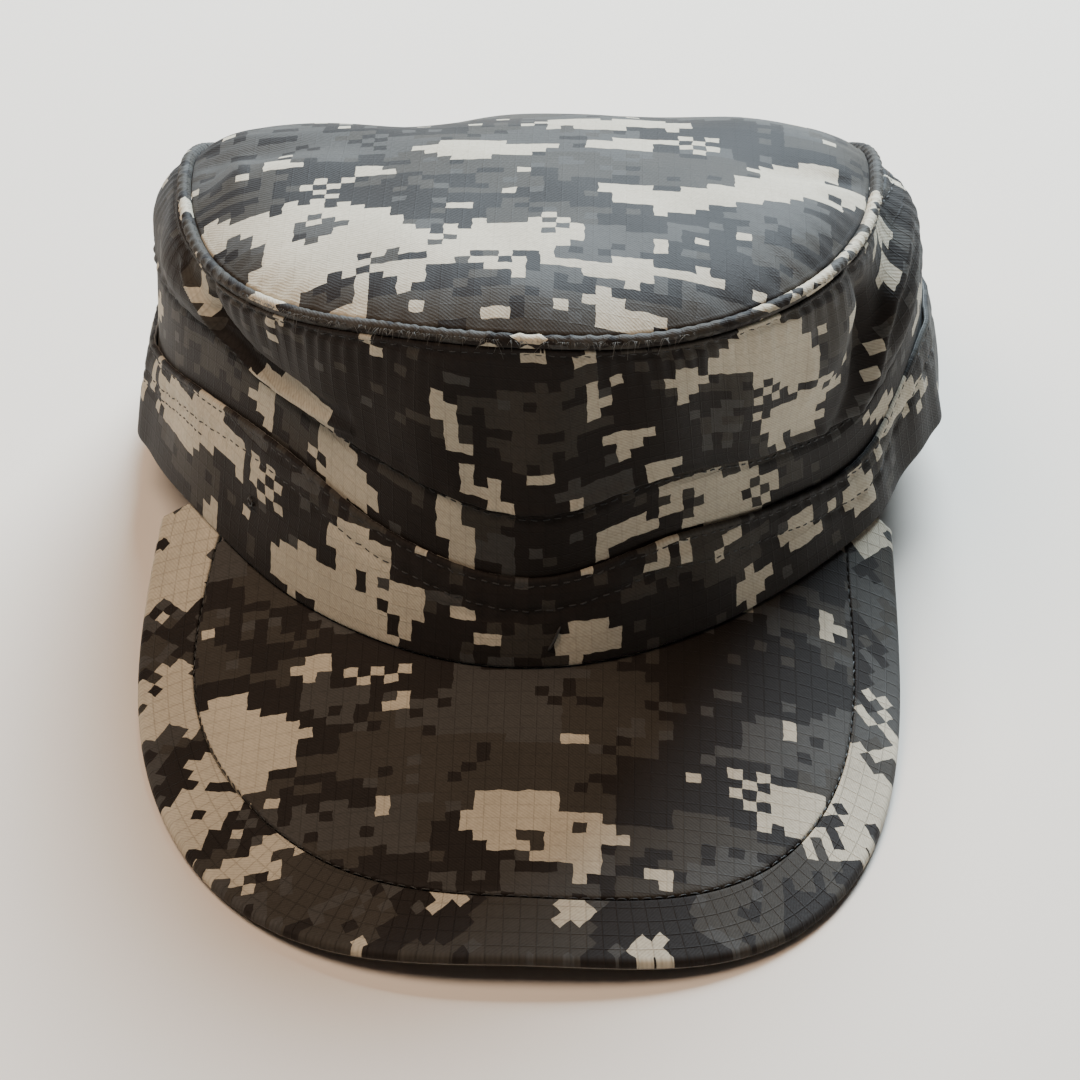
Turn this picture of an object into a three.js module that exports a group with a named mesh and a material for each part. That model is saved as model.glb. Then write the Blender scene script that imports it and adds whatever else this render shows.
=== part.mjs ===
// Soft field cap with a stiff peak, as it rests empty on a table: on the two front
// corners of its peak and on the back of its hem. The crown has slumped backwards.
// Millimetres, +Z up. The peak points towards -Y, and +X is the wearer's left.
// The origin is at the middle of the cap's footprint, at the height of the table.

import * as THREE from "three";
import { ParametricGeometry } from "three/addons/geometries/ParametricGeometry.js";
import { mergeVertices } from "three/addons/utils/BufferGeometryUtils.js";

// Cloth walls
const BAND_THICK = 1.6;
const WALL_THICK = 1.4;
const TOP_THICK = 1.8;
const PEAK_THICK = 2.6;
const GAP = 0.35;
const BAND_LAP = 5;
const WELT_RADIUS = 1.5;

// Facets round the head, and rows up each wall
const TURN_STEPS = 60;
const BAND_ROWS = 4;
const LOWER_ROWS = 3;
const WALL_ROWS = 6;
const WELT_SIDES = 6;
const TOP_ROWS = 8;
const PEAK_STEPS = 36;
const PEAK_ROWS = 5;
const BORDER_ROWS = 2;

// Plans of the four edges that run round the head, seen from above: half an ellipse to
// the front and half to the back of the point (aside, behind). The front one is drawn in
// on its diagonals by the share pinch, or pushed out where that is negative, and the
// back one by backPinch.
const PLANS = {
  hem: { halfWidth: 89, front: 102.9, back: 88, aside: 1.3, behind: 0, pinch: 0.06, backPinch: -0.03 },
  fold: { halfWidth: 85.4, front: 98.2, back: 85.5, aside: 1.2, behind: 0, pinch: 0.06, backPinch: -0.03 },
  seam: { halfWidth: 83.4, front: 97.4, back: 83, aside: 1.2, behind: 0, pinch: 0.08, backPinch: -0.02 },
  top: { halfWidth: 75.3, front: 94.8, back: 66, aside: -0.6, behind: -4, pinch: -0.04, backPinch: -0.01 },
};

// Heights of those edges above the table at each turn round the head. Turn 0 is the
// front, and turns to the wearer's left are positive. hem is the lower edge, fold the
// folded upper edge of the lower band, seam the one under the crown wall and top the
// welted edge of the crown. bulge is how far the crown wall stands out halfway up, and
// puff how far the crown's top rises inside its edge.
const ROUND = [
  { turn: -180, hem: 0, fold: 20, seam: 35, top: 44.5, bulge: 5, puff: 2 },
  { turn: -160, hem: 0, fold: 20, seam: 35.5, top: 46, bulge: 5, puff: 3 },
  { turn: -140, hem: 1.5, fold: 22, seam: 39, top: 52, bulge: 5, puff: 5 },
  { turn: -120, hem: 6, fold: 26.5, seam: 45, top: 61.5, bulge: 4.5, puff: 7 },
  { turn: -100, hem: 10.5, fold: 31.5, seam: 52, top: 73.5, bulge: 3, puff: 8 },
  { turn: -80, hem: 14.5, fold: 38, seam: 58, top: 80.5, bulge: 2.5, puff: 8 },
  { turn: -60, hem: 19, fold: 47.5, seam: 63.5, top: 84.5, bulge: 2, puff: 8 },
  { turn: -40, hem: 17, fold: 50, seam: 61.5, top: 90.5, bulge: 1, puff: 8 },
  { turn: -20, hem: 18, fold: 43, seam: 59, top: 95.5, bulge: 0, puff: 8 },
  { turn: 0, hem: 19, fold: 38, seam: 53.5, top: 96, bulge: 0, puff: 8 },
  { turn: 20, hem: 19.5, fold: 43, seam: 57.5, top: 94, bulge: 0, puff: 8 },
  { turn: 40, hem: 19, fold: 38, seam: 49.5, top: 92, bulge: 1, puff: 8 },
  { turn: 60, hem: 18.5, fold: 34, seam: 44.5, top: 88, bulge: 2, puff: 8 },
  { turn: 80, hem: 19.5, fold: 43.5, seam: 54.5, top: 82, bulge: 1.5, puff: 8 },
  { turn: 100, hem: 16, fold: 40.5, seam: 53, top: 76, bulge: 2.5, puff: 8 },
  { turn: 120, hem: 8.5, fold: 31.5, seam: 46, top: 64, bulge: 4, puff: 7 },
  { turn: 140, hem: 2.5, fold: 24, seam: 39.5, top: 53.5, bulge: 5, puff: 5 },
  { turn: 160, hem: 0, fold: 20, seam: 36, top: 46.5, bulge: 5, puff: 3 },
];
const TURN_PER_ROW = 20;

// Folds and dents of the crown wall. Each runs from foot, its turn at the seam, to head,
// its turn at the welt, and stands out by depth, or in where depth is negative.
const WALL_FOLDS = [
  { foot: -48, head: -62, width: 7, depth: -3 },
  { foot: -64, head: -74, width: 7, depth: 1.2 },
  { foot: 60, head: 92, width: 7, depth: 3 },
  { foot: 46, head: 76, width: 8, depth: -2.5 },
  { foot: 84, head: 106, width: 8, depth: -2 },
  { foot: 12, head: 4, width: 12, depth: -1.2 },
  { foot: -24, head: -14, width: 12, depth: 1 },
  { foot: 128, head: 134, width: 10, depth: -3 },
  { foot: 170, head: 160, width: 12, depth: 2.5 },
  { foot: -158, head: -150, width: 12, depth: -3 },
  { foot: -118, head: -112, width: 10, depth: -2.5 },
];

// The folds die away towards the seam and the welt, more slowly the lower this power is.
const FOLD_FADE = 0.6;

// Hollows and ridges of the crown's top, as ellipses seen from above.
const TOP_DENTS = [
  { name: "hollow behind the left front corner", x: 60, y: -22, long: 16, across: 8, depth: -3 },
  { name: "tuck at the right end", x: -62, y: -12, long: 13, across: 6, depth: -3.5 },
  { name: "ridge beside the tuck", x: -50, y: -26, long: 16, across: 8, depth: 1.5 },
  { name: "saddle at the back", x: -36, y: 30, long: 18, across: 24, depth: -2.5 },
  { name: "swell in the middle", x: 8, y: -10, long: 26, across: 40, depth: 1.5 },
];

// Peak: a crescent whose inner line follows the hem and whose outline is a rounded
// rectangle. Its upper face falls from the hem to the table, and arches a little.
const PEAK_TURN = 62;
const PEAK_INSET = 1.6;
const PEAK = { halfWidth: 81.1, aside: -1.7, length: 129.1, rear: -47 };
const PEAK_LEFT = { square: 3.3, flare: 0.02 };
const PEAK_RIGHT = { square: 2.65, flare: 0.09 };
const PEAK_FLARE_LENGTH = 75;
const PEAK_SIDE_DROP = 2;
const PEAK_SIDE_SHARE = 0.8;
const PEAK_SIDE_POWER = 3;
const PEAK_ARCH = 4;
const PEAK_ARCH_WIDTH = 68;
const PEAK_FALL_POWER = 1.15;

// Seam between the peak's panel and its border, as a share of the way out to the edge.
// On the wearer's right it strays inwards round strayAt, a share across the peak.
const BORDER_SEAM = { middle: 0.8, ends: 0.86, square: 4.2, round: 0.8 };
const SEAM_STRAY = { strayAt: -0.34, width: 0.22, depth: 0.06 };
const PANEL_END = 0.84;
const BORDER_END = 0.985;
const BORDER_GAP = 0.5;

const CLOTH_COLOURS = { crown: 0x6f6d6a, band: 0x5d5955, welt: 0x4c4947, peak: 0x5a5652 };

const radians = THREE.MathUtils.degToRad;
const clamp = THREE.MathUtils.clamp;

// Smooth value of one column of ROUND at any turn, by a closed Catmull-Rom curve.
function around(column, turn) {
  const place = (turn + 180) / TURN_PER_ROW;
  const row = Math.floor(place);
  const part = place - row;
  const [a, b, c, d] = [-1, 0, 1, 2].map((step) => ROUND.at((row + step) % ROUND.length)[column]);
  const curve = 2 * a - 5 * b + 4 * c - d;
  return b + 0.5 * part * (c - a + part * (curve + part * (3 * (b - c) + d - a)));
}

// Point of a named edge at a turn.
function edgePoint(edge, turn) {
  const { halfWidth, front, back, aside, behind, pinch, backPinch } = PLANS[edge];
  const side = Math.sin(radians(turn));
  const ahead = Math.cos(radians(turn));
  const drawnIn = ahead > 0 ? pinch : backPinch;
  const reach = 1 - drawnIn * Math.sin(radians(2 * turn)) ** 2;
  return new THREE.Vector3(
    aside + halfWidth * side * reach,
    behind - (ahead > 0 ? front : back) * ahead * reach,
    Math.max(around(edge, turn), 0),
  );
}

// Level direction that points away from the head across a named edge.
function outward(edge, turn) {
  const step = 0.5;
  const along = edgePoint(edge, turn + step).sub(edgePoint(edge, turn - step));
  return new THREE.Vector3(along.y, -along.x, 0).normalize();
}

// A fall from 1 to 0 round a line, as wide as width.
function bell(distance, width) {
  return Math.exp(-((distance / width) ** 2));
}

function turnBetween(a, b) {
  return ((a - b + 540) % 360) - 180;
}

// How far the crown wall stands out at a turn, a share of the way up it.
function wallRelief(turn, rise) {
  const bulge = around("bulge", turn) * Math.sin(Math.PI * rise);
  const free = Math.sin(Math.PI * clamp(rise, 0, 1)) ** FOLD_FADE;
  return WALL_FOLDS.reduce((sum, fold) => {
    const line = fold.foot + (fold.head - fold.foot) * rise;
    return sum + fold.depth * free * bell(turnBetween(turn, line), fold.width);
  }, bulge);
}

// Folds a step number round a wall's section into a share of its height and its side:
// up the outer face, over the top edge, down the inner face and under the lower edge.
function sectionPlace(step, rows) {
  if (step > 2 * rows + 1) return { rise: 0, inner: false };
  if (step > rows) return { rise: (2 * rows + 1 - step) / rows, inner: true };
  return { rise: step / rows, inner: false };
}

// A closed mesh from a shape, a function of two whole steps: one round or along the
// piece, and one round its section. Places that the shape repeats become one vertex.
function clothPiece(name, colour, steps, sectionSteps, shape) {
  const surface = (along, across, target) => {
    target.copy(shape(Math.round(along * steps), Math.round(across * sectionSteps)));
  };
  const grid = new ParametricGeometry(surface, steps, sectionSteps);
  grid.deleteAttribute("normal");
  grid.deleteAttribute("uv");
  const geometry = mergeVertices(grid, 1e-3);
  const corners = geometry.index.array;
  const kept = [];
  for (let i = 0; i < corners.length; i += 3) {
    const [a, b, c] = corners.slice(i, i + 3);
    if (a !== b && b !== c && c !== a) kept.push(a, b, c);
  }
  geometry.setIndex(kept);
  geometry.computeVertexNormals();
  const cloth = new THREE.MeshStandardMaterial({ color: colour, roughness: 0.85, metalness: 0 });
  const mesh = new THREE.Mesh(geometry, cloth);
  mesh.name = name;
  return mesh;
}

// A wall round the whole head between two lines. line(turn, rise) gives its outer face.
function wall(name, colour, rows, thick, outer, normalEdge) {
  return clothPiece(name, colour, TURN_STEPS, 2 * rows + 2, (step, section) => {
    const turn = -180 + (360 * (step % TURN_STEPS)) / TURN_STEPS;
    const { rise, inner } = sectionPlace(section, rows);
    const point = outer(turn, rise);
    return inner ? point.addScaledVector(outward(normalEdge, turn), -thick) : point;
  });
}

// Lower band: from the hem up to its folded edge, outside the middle band.
function lowerBandFace(turn, rise) {
  return edgePoint("hem", turn).lerp(edgePoint("fold", turn), rise);
}

function lowerBand() {
  return wall("lower_band", CLOTH_COLOURS.band, LOWER_ROWS, BAND_THICK, lowerBandFace, "hem");
}

// Middle band: starts behind the lower band, a lap below its folded edge, follows it up
// to that edge and goes on to the seam. Its face lies inside the lower band's wall.
function middleBandFace(turn, rise) {
  const lapRise = 1 / BAND_ROWS;
  const lapShare = BAND_LAP / (around("fold", turn) - around("hem", turn));
  const lapped = clamp(rise / lapRise, 0, 1);
  const open = clamp((rise - lapRise) / (1 - lapRise), 0, 1);
  const point = lowerBandFace(turn, 1 - lapShare * (1 - lapped));
  point.addScaledVector(outward("hem", turn), -(BAND_THICK + GAP));
  return point.lerp(edgePoint("seam", turn), open);
}

function middleBand() {
  const face = (turn, rise) => middleBandFace(turn, rise);
  return wall("middle_band", CLOTH_COLOURS.band, BAND_ROWS, WALL_THICK, face, "seam");
}

// Crown wall: from the seam to just under the welt.
function crownWallFace(turn, rise) {
  const foot = edgePoint("seam", turn);
  const head = edgePoint("top", turn);
  foot.z += GAP;
  head.z -= WELT_RADIUS + GAP;
  return foot.lerp(head, rise).addScaledVector(outward("seam", turn), wallRelief(turn, rise));
}

function crownWall() {
  return wall("crown_wall", CLOTH_COLOURS.crown, WALL_ROWS, WALL_THICK, crownWallFace, "seam");
}

// Welt: a rolled cord of cloth along the crown's top edge.
function crownWelt() {
  return clothPiece("crown_welt", CLOTH_COLOURS.welt, TURN_STEPS, WELT_SIDES, (step, side) => {
    const turn = -180 + (360 * (step % TURN_STEPS)) / TURN_STEPS;
    const angle = (2 * Math.PI * (side % WELT_SIDES)) / WELT_SIDES;
    const point = edgePoint("top", turn);
    point.addScaledVector(outward("top", turn), WELT_RADIUS * (Math.cos(angle) - 1));
    point.z += WELT_RADIUS * Math.sin(angle);
    return point;
  });
}

// Mean height of the top edge and the part of it that swings once round the head, which
// together give the tilted plane that the top panel keeps to in its middle.
const topTilt = ROUND.reduce((sum, row) => {
  const share = 2 / ROUND.length;
  sum.across += share * row.top * Math.sin(radians(row.turn));
  sum.ahead += share * row.top * Math.cos(radians(row.turn));
  return sum;
}, { across: 0, ahead: 0 });
const TOP_MIDDLE_HEIGHT = 80;
const PUFF_MIDDLE = 7;
const PUFF_POWER = 8;

// Upper face of the crown's top, a share of the way from its middle to the welt.
function topFace(turn, reach) {
  const inset = 2 * WELT_RADIUS + GAP;
  const rim = edgePoint("top", turn).addScaledVector(outward("top", turn), -inset);
  const tilt = topTilt.across * Math.sin(radians(turn)) + topTilt.ahead * Math.cos(radians(turn));
  const puff = PUFF_MIDDLE * (1 - reach ** 2) + around("puff", turn) * reach ** 2;
  const x = PLANS.top.aside + (rim.x - PLANS.top.aside) * reach;
  const y = PLANS.top.behind + (rim.y - PLANS.top.behind) * reach;
  const slump = (1 - reach ** 2) * TOP_MIDDLE_HEIGHT + reach ** 2 * (rim.z - tilt) + reach * tilt;
  const dents = TOP_DENTS.reduce((sum, dent) => {
    const oval = Math.hypot((x - dent.x) / dent.long, (y - dent.y) / dent.across);
    return sum + dent.depth * bell(oval, 1);
  }, 0);
  const free = 1 - reach ** PUFF_POWER;
  return new THREE.Vector3(x, y, slump + (puff + dents) * free);
}

function crownTop() {
  const sectionSteps = 2 * TOP_ROWS + 1;
  return clothPiece("crown_top", CLOTH_COLOURS.crown, TURN_STEPS, sectionSteps, (step, section) => {
    const turn = -180 + (360 * (step % TURN_STEPS)) / TURN_STEPS;
    const under = section <= TOP_ROWS;
    const row = under ? section : sectionSteps - section;
    const reach = (row / TOP_ROWS) ** 0.8;
    const point = topFace(row === 0 ? 0 : turn, reach);
    if (under) point.z -= TOP_THICK;
    return point;
  });
}

// Edge of the peak at a share across it from -1, the wearer's right, to 1.
function peakEdge(across) {
  const side = Math.sin((across * Math.PI) / 2);
  const ahead = Math.cos((across * Math.PI) / 2);
  const { square, flare } = across < 0 ? PEAK_RIGHT : PEAK_LEFT;
  const wide = Math.abs(side / PEAK.halfWidth) ** square;
  const long = Math.abs(ahead / PEAK.length) ** square;
  const reach = (wide + long) ** (-1 / square);
  const forward = reach * ahead;
  const narrowing = flare * (1 - clamp(forward / PEAK_FLARE_LENGTH, 0, 1)) ** 2;
  const x = reach * side * (1 - narrowing);
  const sideShare = clamp(1 - forward / (PEAK_SIDE_SHARE * PEAK.length), 0, 1);
  const sideHeight = edgePoint("hem", PEAK_TURN * Math.sign(across)).z - PEAK_SIDE_DROP;
  const sideRise = (sideHeight - PEAK_THICK) * sideShare ** PEAK_SIDE_POWER;
  const arch = PEAK_ARCH * Math.cos((clamp(Math.abs(x) / PEAK_ARCH_WIDTH, 0, 1) * Math.PI) / 2) ** 2;
  return new THREE.Vector3(PEAK.aside + x, PEAK.rear - forward, PEAK_THICK + sideRise + arch);
}

// Upper face of the peak: out is 0 at the hem and 1 at the edge.
function peakFace(across, out) {
  const turn = PEAK_TURN * across;
  const root = edgePoint("hem", turn).addScaledVector(outward("hem", turn), -PEAK_INSET);
  root.z -= GAP;
  const edge = peakEdge(across);
  const point = root.clone().lerp(edge, out);
  point.z = root.z + (edge.z - root.z) * out ** PEAK_FALL_POWER;
  return point;
}

// Share of the way out at which the border's seam crosses.
function borderSeam(across) {
  const { middle, ends, square, round } = BORDER_SEAM;
  const share = clamp(Math.abs(across) / ends, 0, 1);
  const stray = SEAM_STRAY.depth * bell(across - SEAM_STRAY.strayAt, SEAM_STRAY.width);
  return (middle - stray) * (1 - share ** square) ** round;
}

// A slab of the peak between two shares of the way out, closed at both ends.
function peakSlab(name, end, rows, inner, outer) {
  const sectionSteps = 2 * rows + 2;
  const steps = PEAK_STEPS + 2;
  return clothPiece(name, CLOTH_COLOURS.peak, steps, sectionSteps, (step, section) => {
    const across = end * (1 - 2 * clamp((step - 1) / PEAK_STEPS, 0, 1));
    const from = inner(across);
    const to = outer(across);
    if (step === 0 || step === steps) {
      const middle = peakFace(across, (from + to) / 2);
      middle.z -= PEAK_THICK / 2;
      return middle;
    }
    const { rise, inner: under } = sectionPlace(section, rows);
    const point = peakFace(across, from + (to - from) * rise);
    if (under) point.z = Math.max(point.z - PEAK_THICK, 0);
    return point;
  });
}

function peakPanel() {
  return peakSlab("peak_panel", PANEL_END, PEAK_ROWS, () => 0, borderSeam);
}

function peakBorder() {
  const seamSide = (across) => {
    const ruling = peakFace(across, 1).distanceTo(peakFace(across, 0));
    const seam = borderSeam(across);
    return seam > 0 ? seam + BORDER_GAP / ruling : 0;
  };
  return peakSlab("peak_border", BORDER_END, BORDER_ROWS, seamSide, () => 1);
}

const cap = new THREE.Group();
cap.add(lowerBand(), middleBand(), crownWall(), crownWelt(), crownTop(), peakPanel(), peakBorder());

// Footprint's middle to the origin, and the lowest point to the table.
const box = new THREE.Box3().setFromObject(cap);
const middle = box.getCenter(new THREE.Vector3());
cap.position.set(-middle.x, -middle.y, -box.min.z);

export default cap;
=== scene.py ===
"""A soft field cap in blocky camouflage cloth, lying empty on a pale table.

The crown has slumped backwards over its folded band, and the stiff peak rests on its two
front corners. Each piece of cloth is a closed wall worked out with numpy on a fine grid,
from the same edges as the solid model, with its folds, puckers and sewn grooves.
"""

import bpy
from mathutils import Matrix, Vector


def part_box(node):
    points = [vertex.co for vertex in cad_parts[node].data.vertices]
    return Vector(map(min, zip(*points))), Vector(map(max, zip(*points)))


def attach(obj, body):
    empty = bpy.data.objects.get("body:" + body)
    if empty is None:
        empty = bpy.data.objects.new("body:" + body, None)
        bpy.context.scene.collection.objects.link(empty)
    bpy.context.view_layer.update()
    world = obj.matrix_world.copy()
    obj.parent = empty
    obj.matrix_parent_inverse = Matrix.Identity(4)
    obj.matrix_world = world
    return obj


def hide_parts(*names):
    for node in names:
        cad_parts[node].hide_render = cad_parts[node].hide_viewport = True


bl_info = {
    "name": "Soft field cap",
    "version": (1, 0, 0),
    "blender": (4, 5, 0),
    "location": "View3D > Sidebar > Cap",
    "description": "Builds a soft field cap in camouflage cloth on its solid model",
    "category": "Object",
}

import math

import bmesh
import bpy
import numpy as np
from bpy.props import FloatProperty, FloatVectorProperty, PointerProperty
from mathutils import Matrix, Vector

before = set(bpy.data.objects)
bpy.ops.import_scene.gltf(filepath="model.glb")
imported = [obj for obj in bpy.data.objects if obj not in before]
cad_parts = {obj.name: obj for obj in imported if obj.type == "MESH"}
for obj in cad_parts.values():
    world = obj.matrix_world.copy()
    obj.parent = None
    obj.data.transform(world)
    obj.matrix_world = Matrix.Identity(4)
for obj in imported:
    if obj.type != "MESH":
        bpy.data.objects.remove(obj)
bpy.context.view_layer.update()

# The tables below are in millimetres, and MM turns them into Blender's metres. Points
# closer than SMALL, in metres, become one.
MM = 0.001
SMALL = 1e-6


def table(columns, *rows):
    """A table as a list of rows that know their columns. Short rows leave the last out."""
    return [dict(zip(columns.split(), row)) for row in rows]


# Thicknesses of the cloth, the gap between two layers, how far the middle band goes down
# behind the lower one and which share of its rise that takes, and the welt's radius.
BAND_THICK = 1.3
WALL_THICK = 1.4
TOP_THICK = 1.8
PEAK_THICK = 2.6
GAP = 0.2
BAND_LAP = 5.0
LAP_RISE = 0.25
WELT_RADIUS = 1.5
# Share of that radius to which the welt's buried side swells, to meet the crown's top and
# wall, and where that side is: its middle, in degrees upwards from straight out, and how
# steeply it sets in and how narrow it is.
WELT_FILL = 1.06
WELT_BURIED = dict(middle=235, steep=4, narrow=0.7)

# Plans of the four edges round the head: half an ellipse to the front and half to the
# back of the point (aside, behind), drawn in on the diagonals by pinch.
PLANS = table(
    "edge half_width front back aside behind pinch back_pinch",
    ("hem", 89, 102.9, 88, 1.3, 0, 0.06, -0.03),
    ("fold", 85.4, 98.2, 85.5, 1.2, 0, 0.06, -0.03),
    ("seam", 83.4, 97.4, 83, 1.2, 0, 0.08, -0.02),
    ("top", 75.3, 94.8, 66, -0.6, -4, -0.04, -0.01),
)
PLANS = {plan["edge"]: plan for plan in PLANS}

# Heights of the edges at each turn round the head, from the back round by the wearer's
# right, and how far the crown wall bulges and the crown's top puffs up there.
ROUND_STEP = 20
ROUND = {
    "hem": (0, 0, 1.5, 6, 10.5, 14.5, 19, 17, 18, 19, 19.5, 19, 18.5, 19.5, 16, 8.5, 2.5, 0),
    "fold": (20, 20, 22, 26.5, 31.5, 38, 47.5, 50, 43, 38, 43, 38, 34, 43.5, 40.5, 31.5, 24, 20),
    "seam": (35, 35.5, 39, 45, 52, 58, 63.5, 61.5, 59, 53.5, 57.5, 49.5, 44.5, 54.5, 53, 46, 39.5, 36),
    "top": (44.5, 46, 52, 61.5, 73.5, 80.5, 84.5, 90.5, 95.5, 96, 94, 92, 88, 82, 76, 64, 53.5, 46.5),
    "bulge": (5, 5, 5, 4.5, 3, 2.5, 2, 1, 0, 0, 0, 1, 2, 1.5, 2.5, 4, 5, 5),
    "puff": (2, 3, 5, 7, 8, 8, 8, 8, 8, 8, 8, 8, 8, 8, 8, 7, 5, 3),
}

# Broad folds of the crown wall: from a turn at the seam to a turn at the welt.
WALL_FOLDS = table(
    "foot head width depth",
    (-48, -62, 7, -3),
    (-64, -74, 7, 1.2),
    (64, 90, 6, 4),
    (46, 76, 8, -2.5),
    (84, 106, 8, -2),
    (12, 4, 12, -1.2),
    (-24, -14, 12, 1),
    (128, 134, 10, -3),
    (170, 160, 12, 2.5),
    (-158, -150, 12, -3),
    (-118, -112, 10, -2.5),
)
# How fast they fade in from the seam and from the welt, as a power.
FOLD_FADE = 0.6

# Hollows and ridges of the crown's top, as ellipses seen from above.
TOP_DENTS = table(
    "x y long across depth",
    (60, -22, 16, 8, -3),
    (-62, -12, 13, 6, -3.5),
    (-50, -26, 16, 8, 1.5),
    (-36, 30, 18, 24, -2.5),
    (8, -10, 26, 40, 1.5),
    (67, -19, 4.5, 2.6, -2.6),
    (62, -26, 7, 2.8, 1.6),
    (65, -33, 5, 2.6, -2.2),
    (-68, -20, 2.8, 9, -2.4),
    (-62, -23, 3, 10, 1.5),
)
# Height and puff of the top's middle, how late the puff ends towards the rim, the rim's
# gap to the welt, and over how much cloth the little folds settle there.
TOP_MIDDLE_HEIGHT = 80
PUFF_MIDDLE = 7
PUFF_POWER = 8
TOP_GAP = 0.1
TOP_SETTLE = 3

# Peak: it leaves the hem between two turns, a little inside it. Its outline is a rounded
# rectangle, squarer on one side than on the other, which narrows towards the hem by flare.
PEAK_TURN = 62
PEAK_INSET = 1.6
PEAK = dict(half_width=81.1, aside=-1.7, length=129.1, rear=-47)
PEAK_LEFT = dict(square=3.3, flare=0.02)
PEAK_RIGHT = dict(square=2.62, flare=0.055)
PEAK_FLARE_LENGTH = 75
# Its sides rise from the table to a little below the hem, over a share of its length, its
# front edge is arched, and it falls from the hem to that edge by a power.
PEAK_SIDE_DROP = 2
PEAK_SIDE_SHARE = 0.8
PEAK_SIDE_POWER = 3
PEAK_ARCH = 4
PEAK_ARCH_WIDTH = 68
PEAK_FALL_POWER = 1.15
# Seam between its panel and its border, as shares of the way out, with a place where it
# strays inwards, where along the hem the two pieces end, the seam's gap and how far the
# edges beside it are rounded.
BORDER_SEAM = dict(middle=0.8, ends=0.86, square=4.2, round=0.8)
SEAM_STRAY = dict(at=-0.34, width=0.22, depth=0.06)
PANEL_END = 0.84
BORDER_END = 0.985
SEAM_GAP = 0.15
SEAM_ROUND = 0.55

# Finer folds, each along a bent line of (turn, rise) places on its wall. Its ridge is
# width wide and stands out by depth, or in where depth is negative. They are measured by
# the hem's arc to a degree of turn and a wall's usual height.
ARC_PER_TURN = 1.6
MEAN_WALL = 36.0
CROWN_WALL_CREASES = table(
    "width depth line",
    (1.6, 3.0, ((-66, 0.85), (-59, 0.43), (-55, 0.17), (-48, 0.07), (-37, 0.11), (-26, 0.14))),
    (2.2, -2.0, ((-55, 1.05), (-56, 0.42), (-47.5, 0.26), (-40, 0.25), (-26, 0.28))),
    (1.8, 2.3, ((84, 0.85), (75.5, 0.64), (69, 0.52), (65.5, 0.38), (63.5, 0.22), (59, -0.05))),
    (2.4, -2.0, ((57, 1.05), (63.2, 0.66), (62.2, 0.4), (59, 0.18), (53, -0.05))),
    (3, 1.2, ((100, 0.9), (90, 0.5), (80, 0.1))),
    (2.2, 0.6, ((44, 1.0), (47, 0.6), (47, 0.2))),
    (2, -0.5, ((39, 1.0), (41, 0.7), (42, 0.4))),
    (6, -0.5, ((-8, 0.1), (-2, 0.5), (6, 0.8))),
    (5, 0.5, ((30, 0.1), (34, 0.6))),
)
LOWER_BAND_CREASES = table(
    "width depth line",
    (2.2, -0.8, ((13, 0.95), (17, 0.7), (24, 0.5))),
    (2.4, 0.7, ((15, 1.0), (21, 0.8), (30, 0.62))),
    (2, -0.4, ((-16, 0.6), (-8, 0.52), (4, 0.6))),
    (3, -0.6, ((-52, 0.3), (-40, 0.5), (-30, 0.8))),
    (8, 0.9, ((93, -0.6), (94, 0.5), (96, 1.6))),
    (4.5, 1.5, ((82.5, -0.6), (83, 0.4), (85, 1.1))),
    (9, -1.8, ((69, -0.7), (70, 0.3), (72, 1.1))),
    (8, 0.8, ((-96, -0.6), (-97, 0.5), (-99, 1.6))),
    (5, 1.4, ((-80, -0.6), (-81, 0.4), (-83, 1.1))),
)


def turns_round(count):
    """Turns once round the head from the back, in one column. The back comes twice."""
    return np.linspace(-180, 180, count + 1)[:, None]


def ends_of(face, turn):
    """Points of a face at its foot and at its head."""
    return face(turn, np.zeros((1, 1))), face(turn, np.ones((1, 1)))


def column(name, turn):
    """Value of one column of ROUND at any turns, by a closed Catmull-Rom curve."""
    values = np.array(ROUND[name], float)
    place = (np.asarray(turn, float) + 180) / ROUND_STEP
    row = np.floor(place).astype(int)
    part = place - row
    a, b, c, d = (values[(row + step) % len(values)] for step in (-1, 0, 1, 2))
    curve = 2 * a - 5 * b + 4 * c - d
    return b + 0.5 * part * (c - a + part * (curve + part * (3 * (b - c) + d - a)))


def edge_point(edge, turn):
    """Points of a named edge: half ellipses of its plan, at the heights of its column."""
    plan = PLANS[edge]
    side, ahead = np.sin(np.radians(turn)), np.cos(np.radians(turn))
    drawn_in = np.where(ahead > 0, plan["pinch"], plan["back_pinch"])
    reach = 1 - drawn_in * np.sin(np.radians(2 * turn)) ** 2
    length = np.where(ahead > 0, plan["front"], plan["back"])
    x = plan["aside"] + plan["half_width"] * side * reach
    y = plan["behind"] - length * ahead * reach
    return np.stack([x, y, np.maximum(column(edge, turn), 0)], -1)


def outward(edge, turn):
    """Level directions away from the head, at right angles to a named edge."""
    along = edge_point(edge, turn + 0.5) - edge_point(edge, turn - 0.5)
    level = np.stack([along[..., 1], -along[..., 0], np.zeros_like(along[..., 0])], -1)
    return unit(level)


def unit(vectors):
    """Vectors of the same directions and of length 1."""
    return vectors / np.linalg.norm(vectors, axis=-1, keepdims=True)


def mix(a, b, share):
    """Places a share of the way from a to b."""
    return a + (b - a) * np.asarray(share)[..., None]


def follow(places, at, rows):
    """Rows of a table of vectors at places between the ones where they are known."""
    return np.stack([np.interp(places, at, rows[:, k]) for k in range(3)], -1)


def bell(distance, width):
    """A fall from 1 to 0 round a line: e to the minus (distance / width) squared."""
    return np.exp(-((distance / width) ** 2))


def turn_between(a, b):
    """Turn from b to a, between -180 and 180 degrees."""
    return (a - b + 540) % 360 - 180


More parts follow.
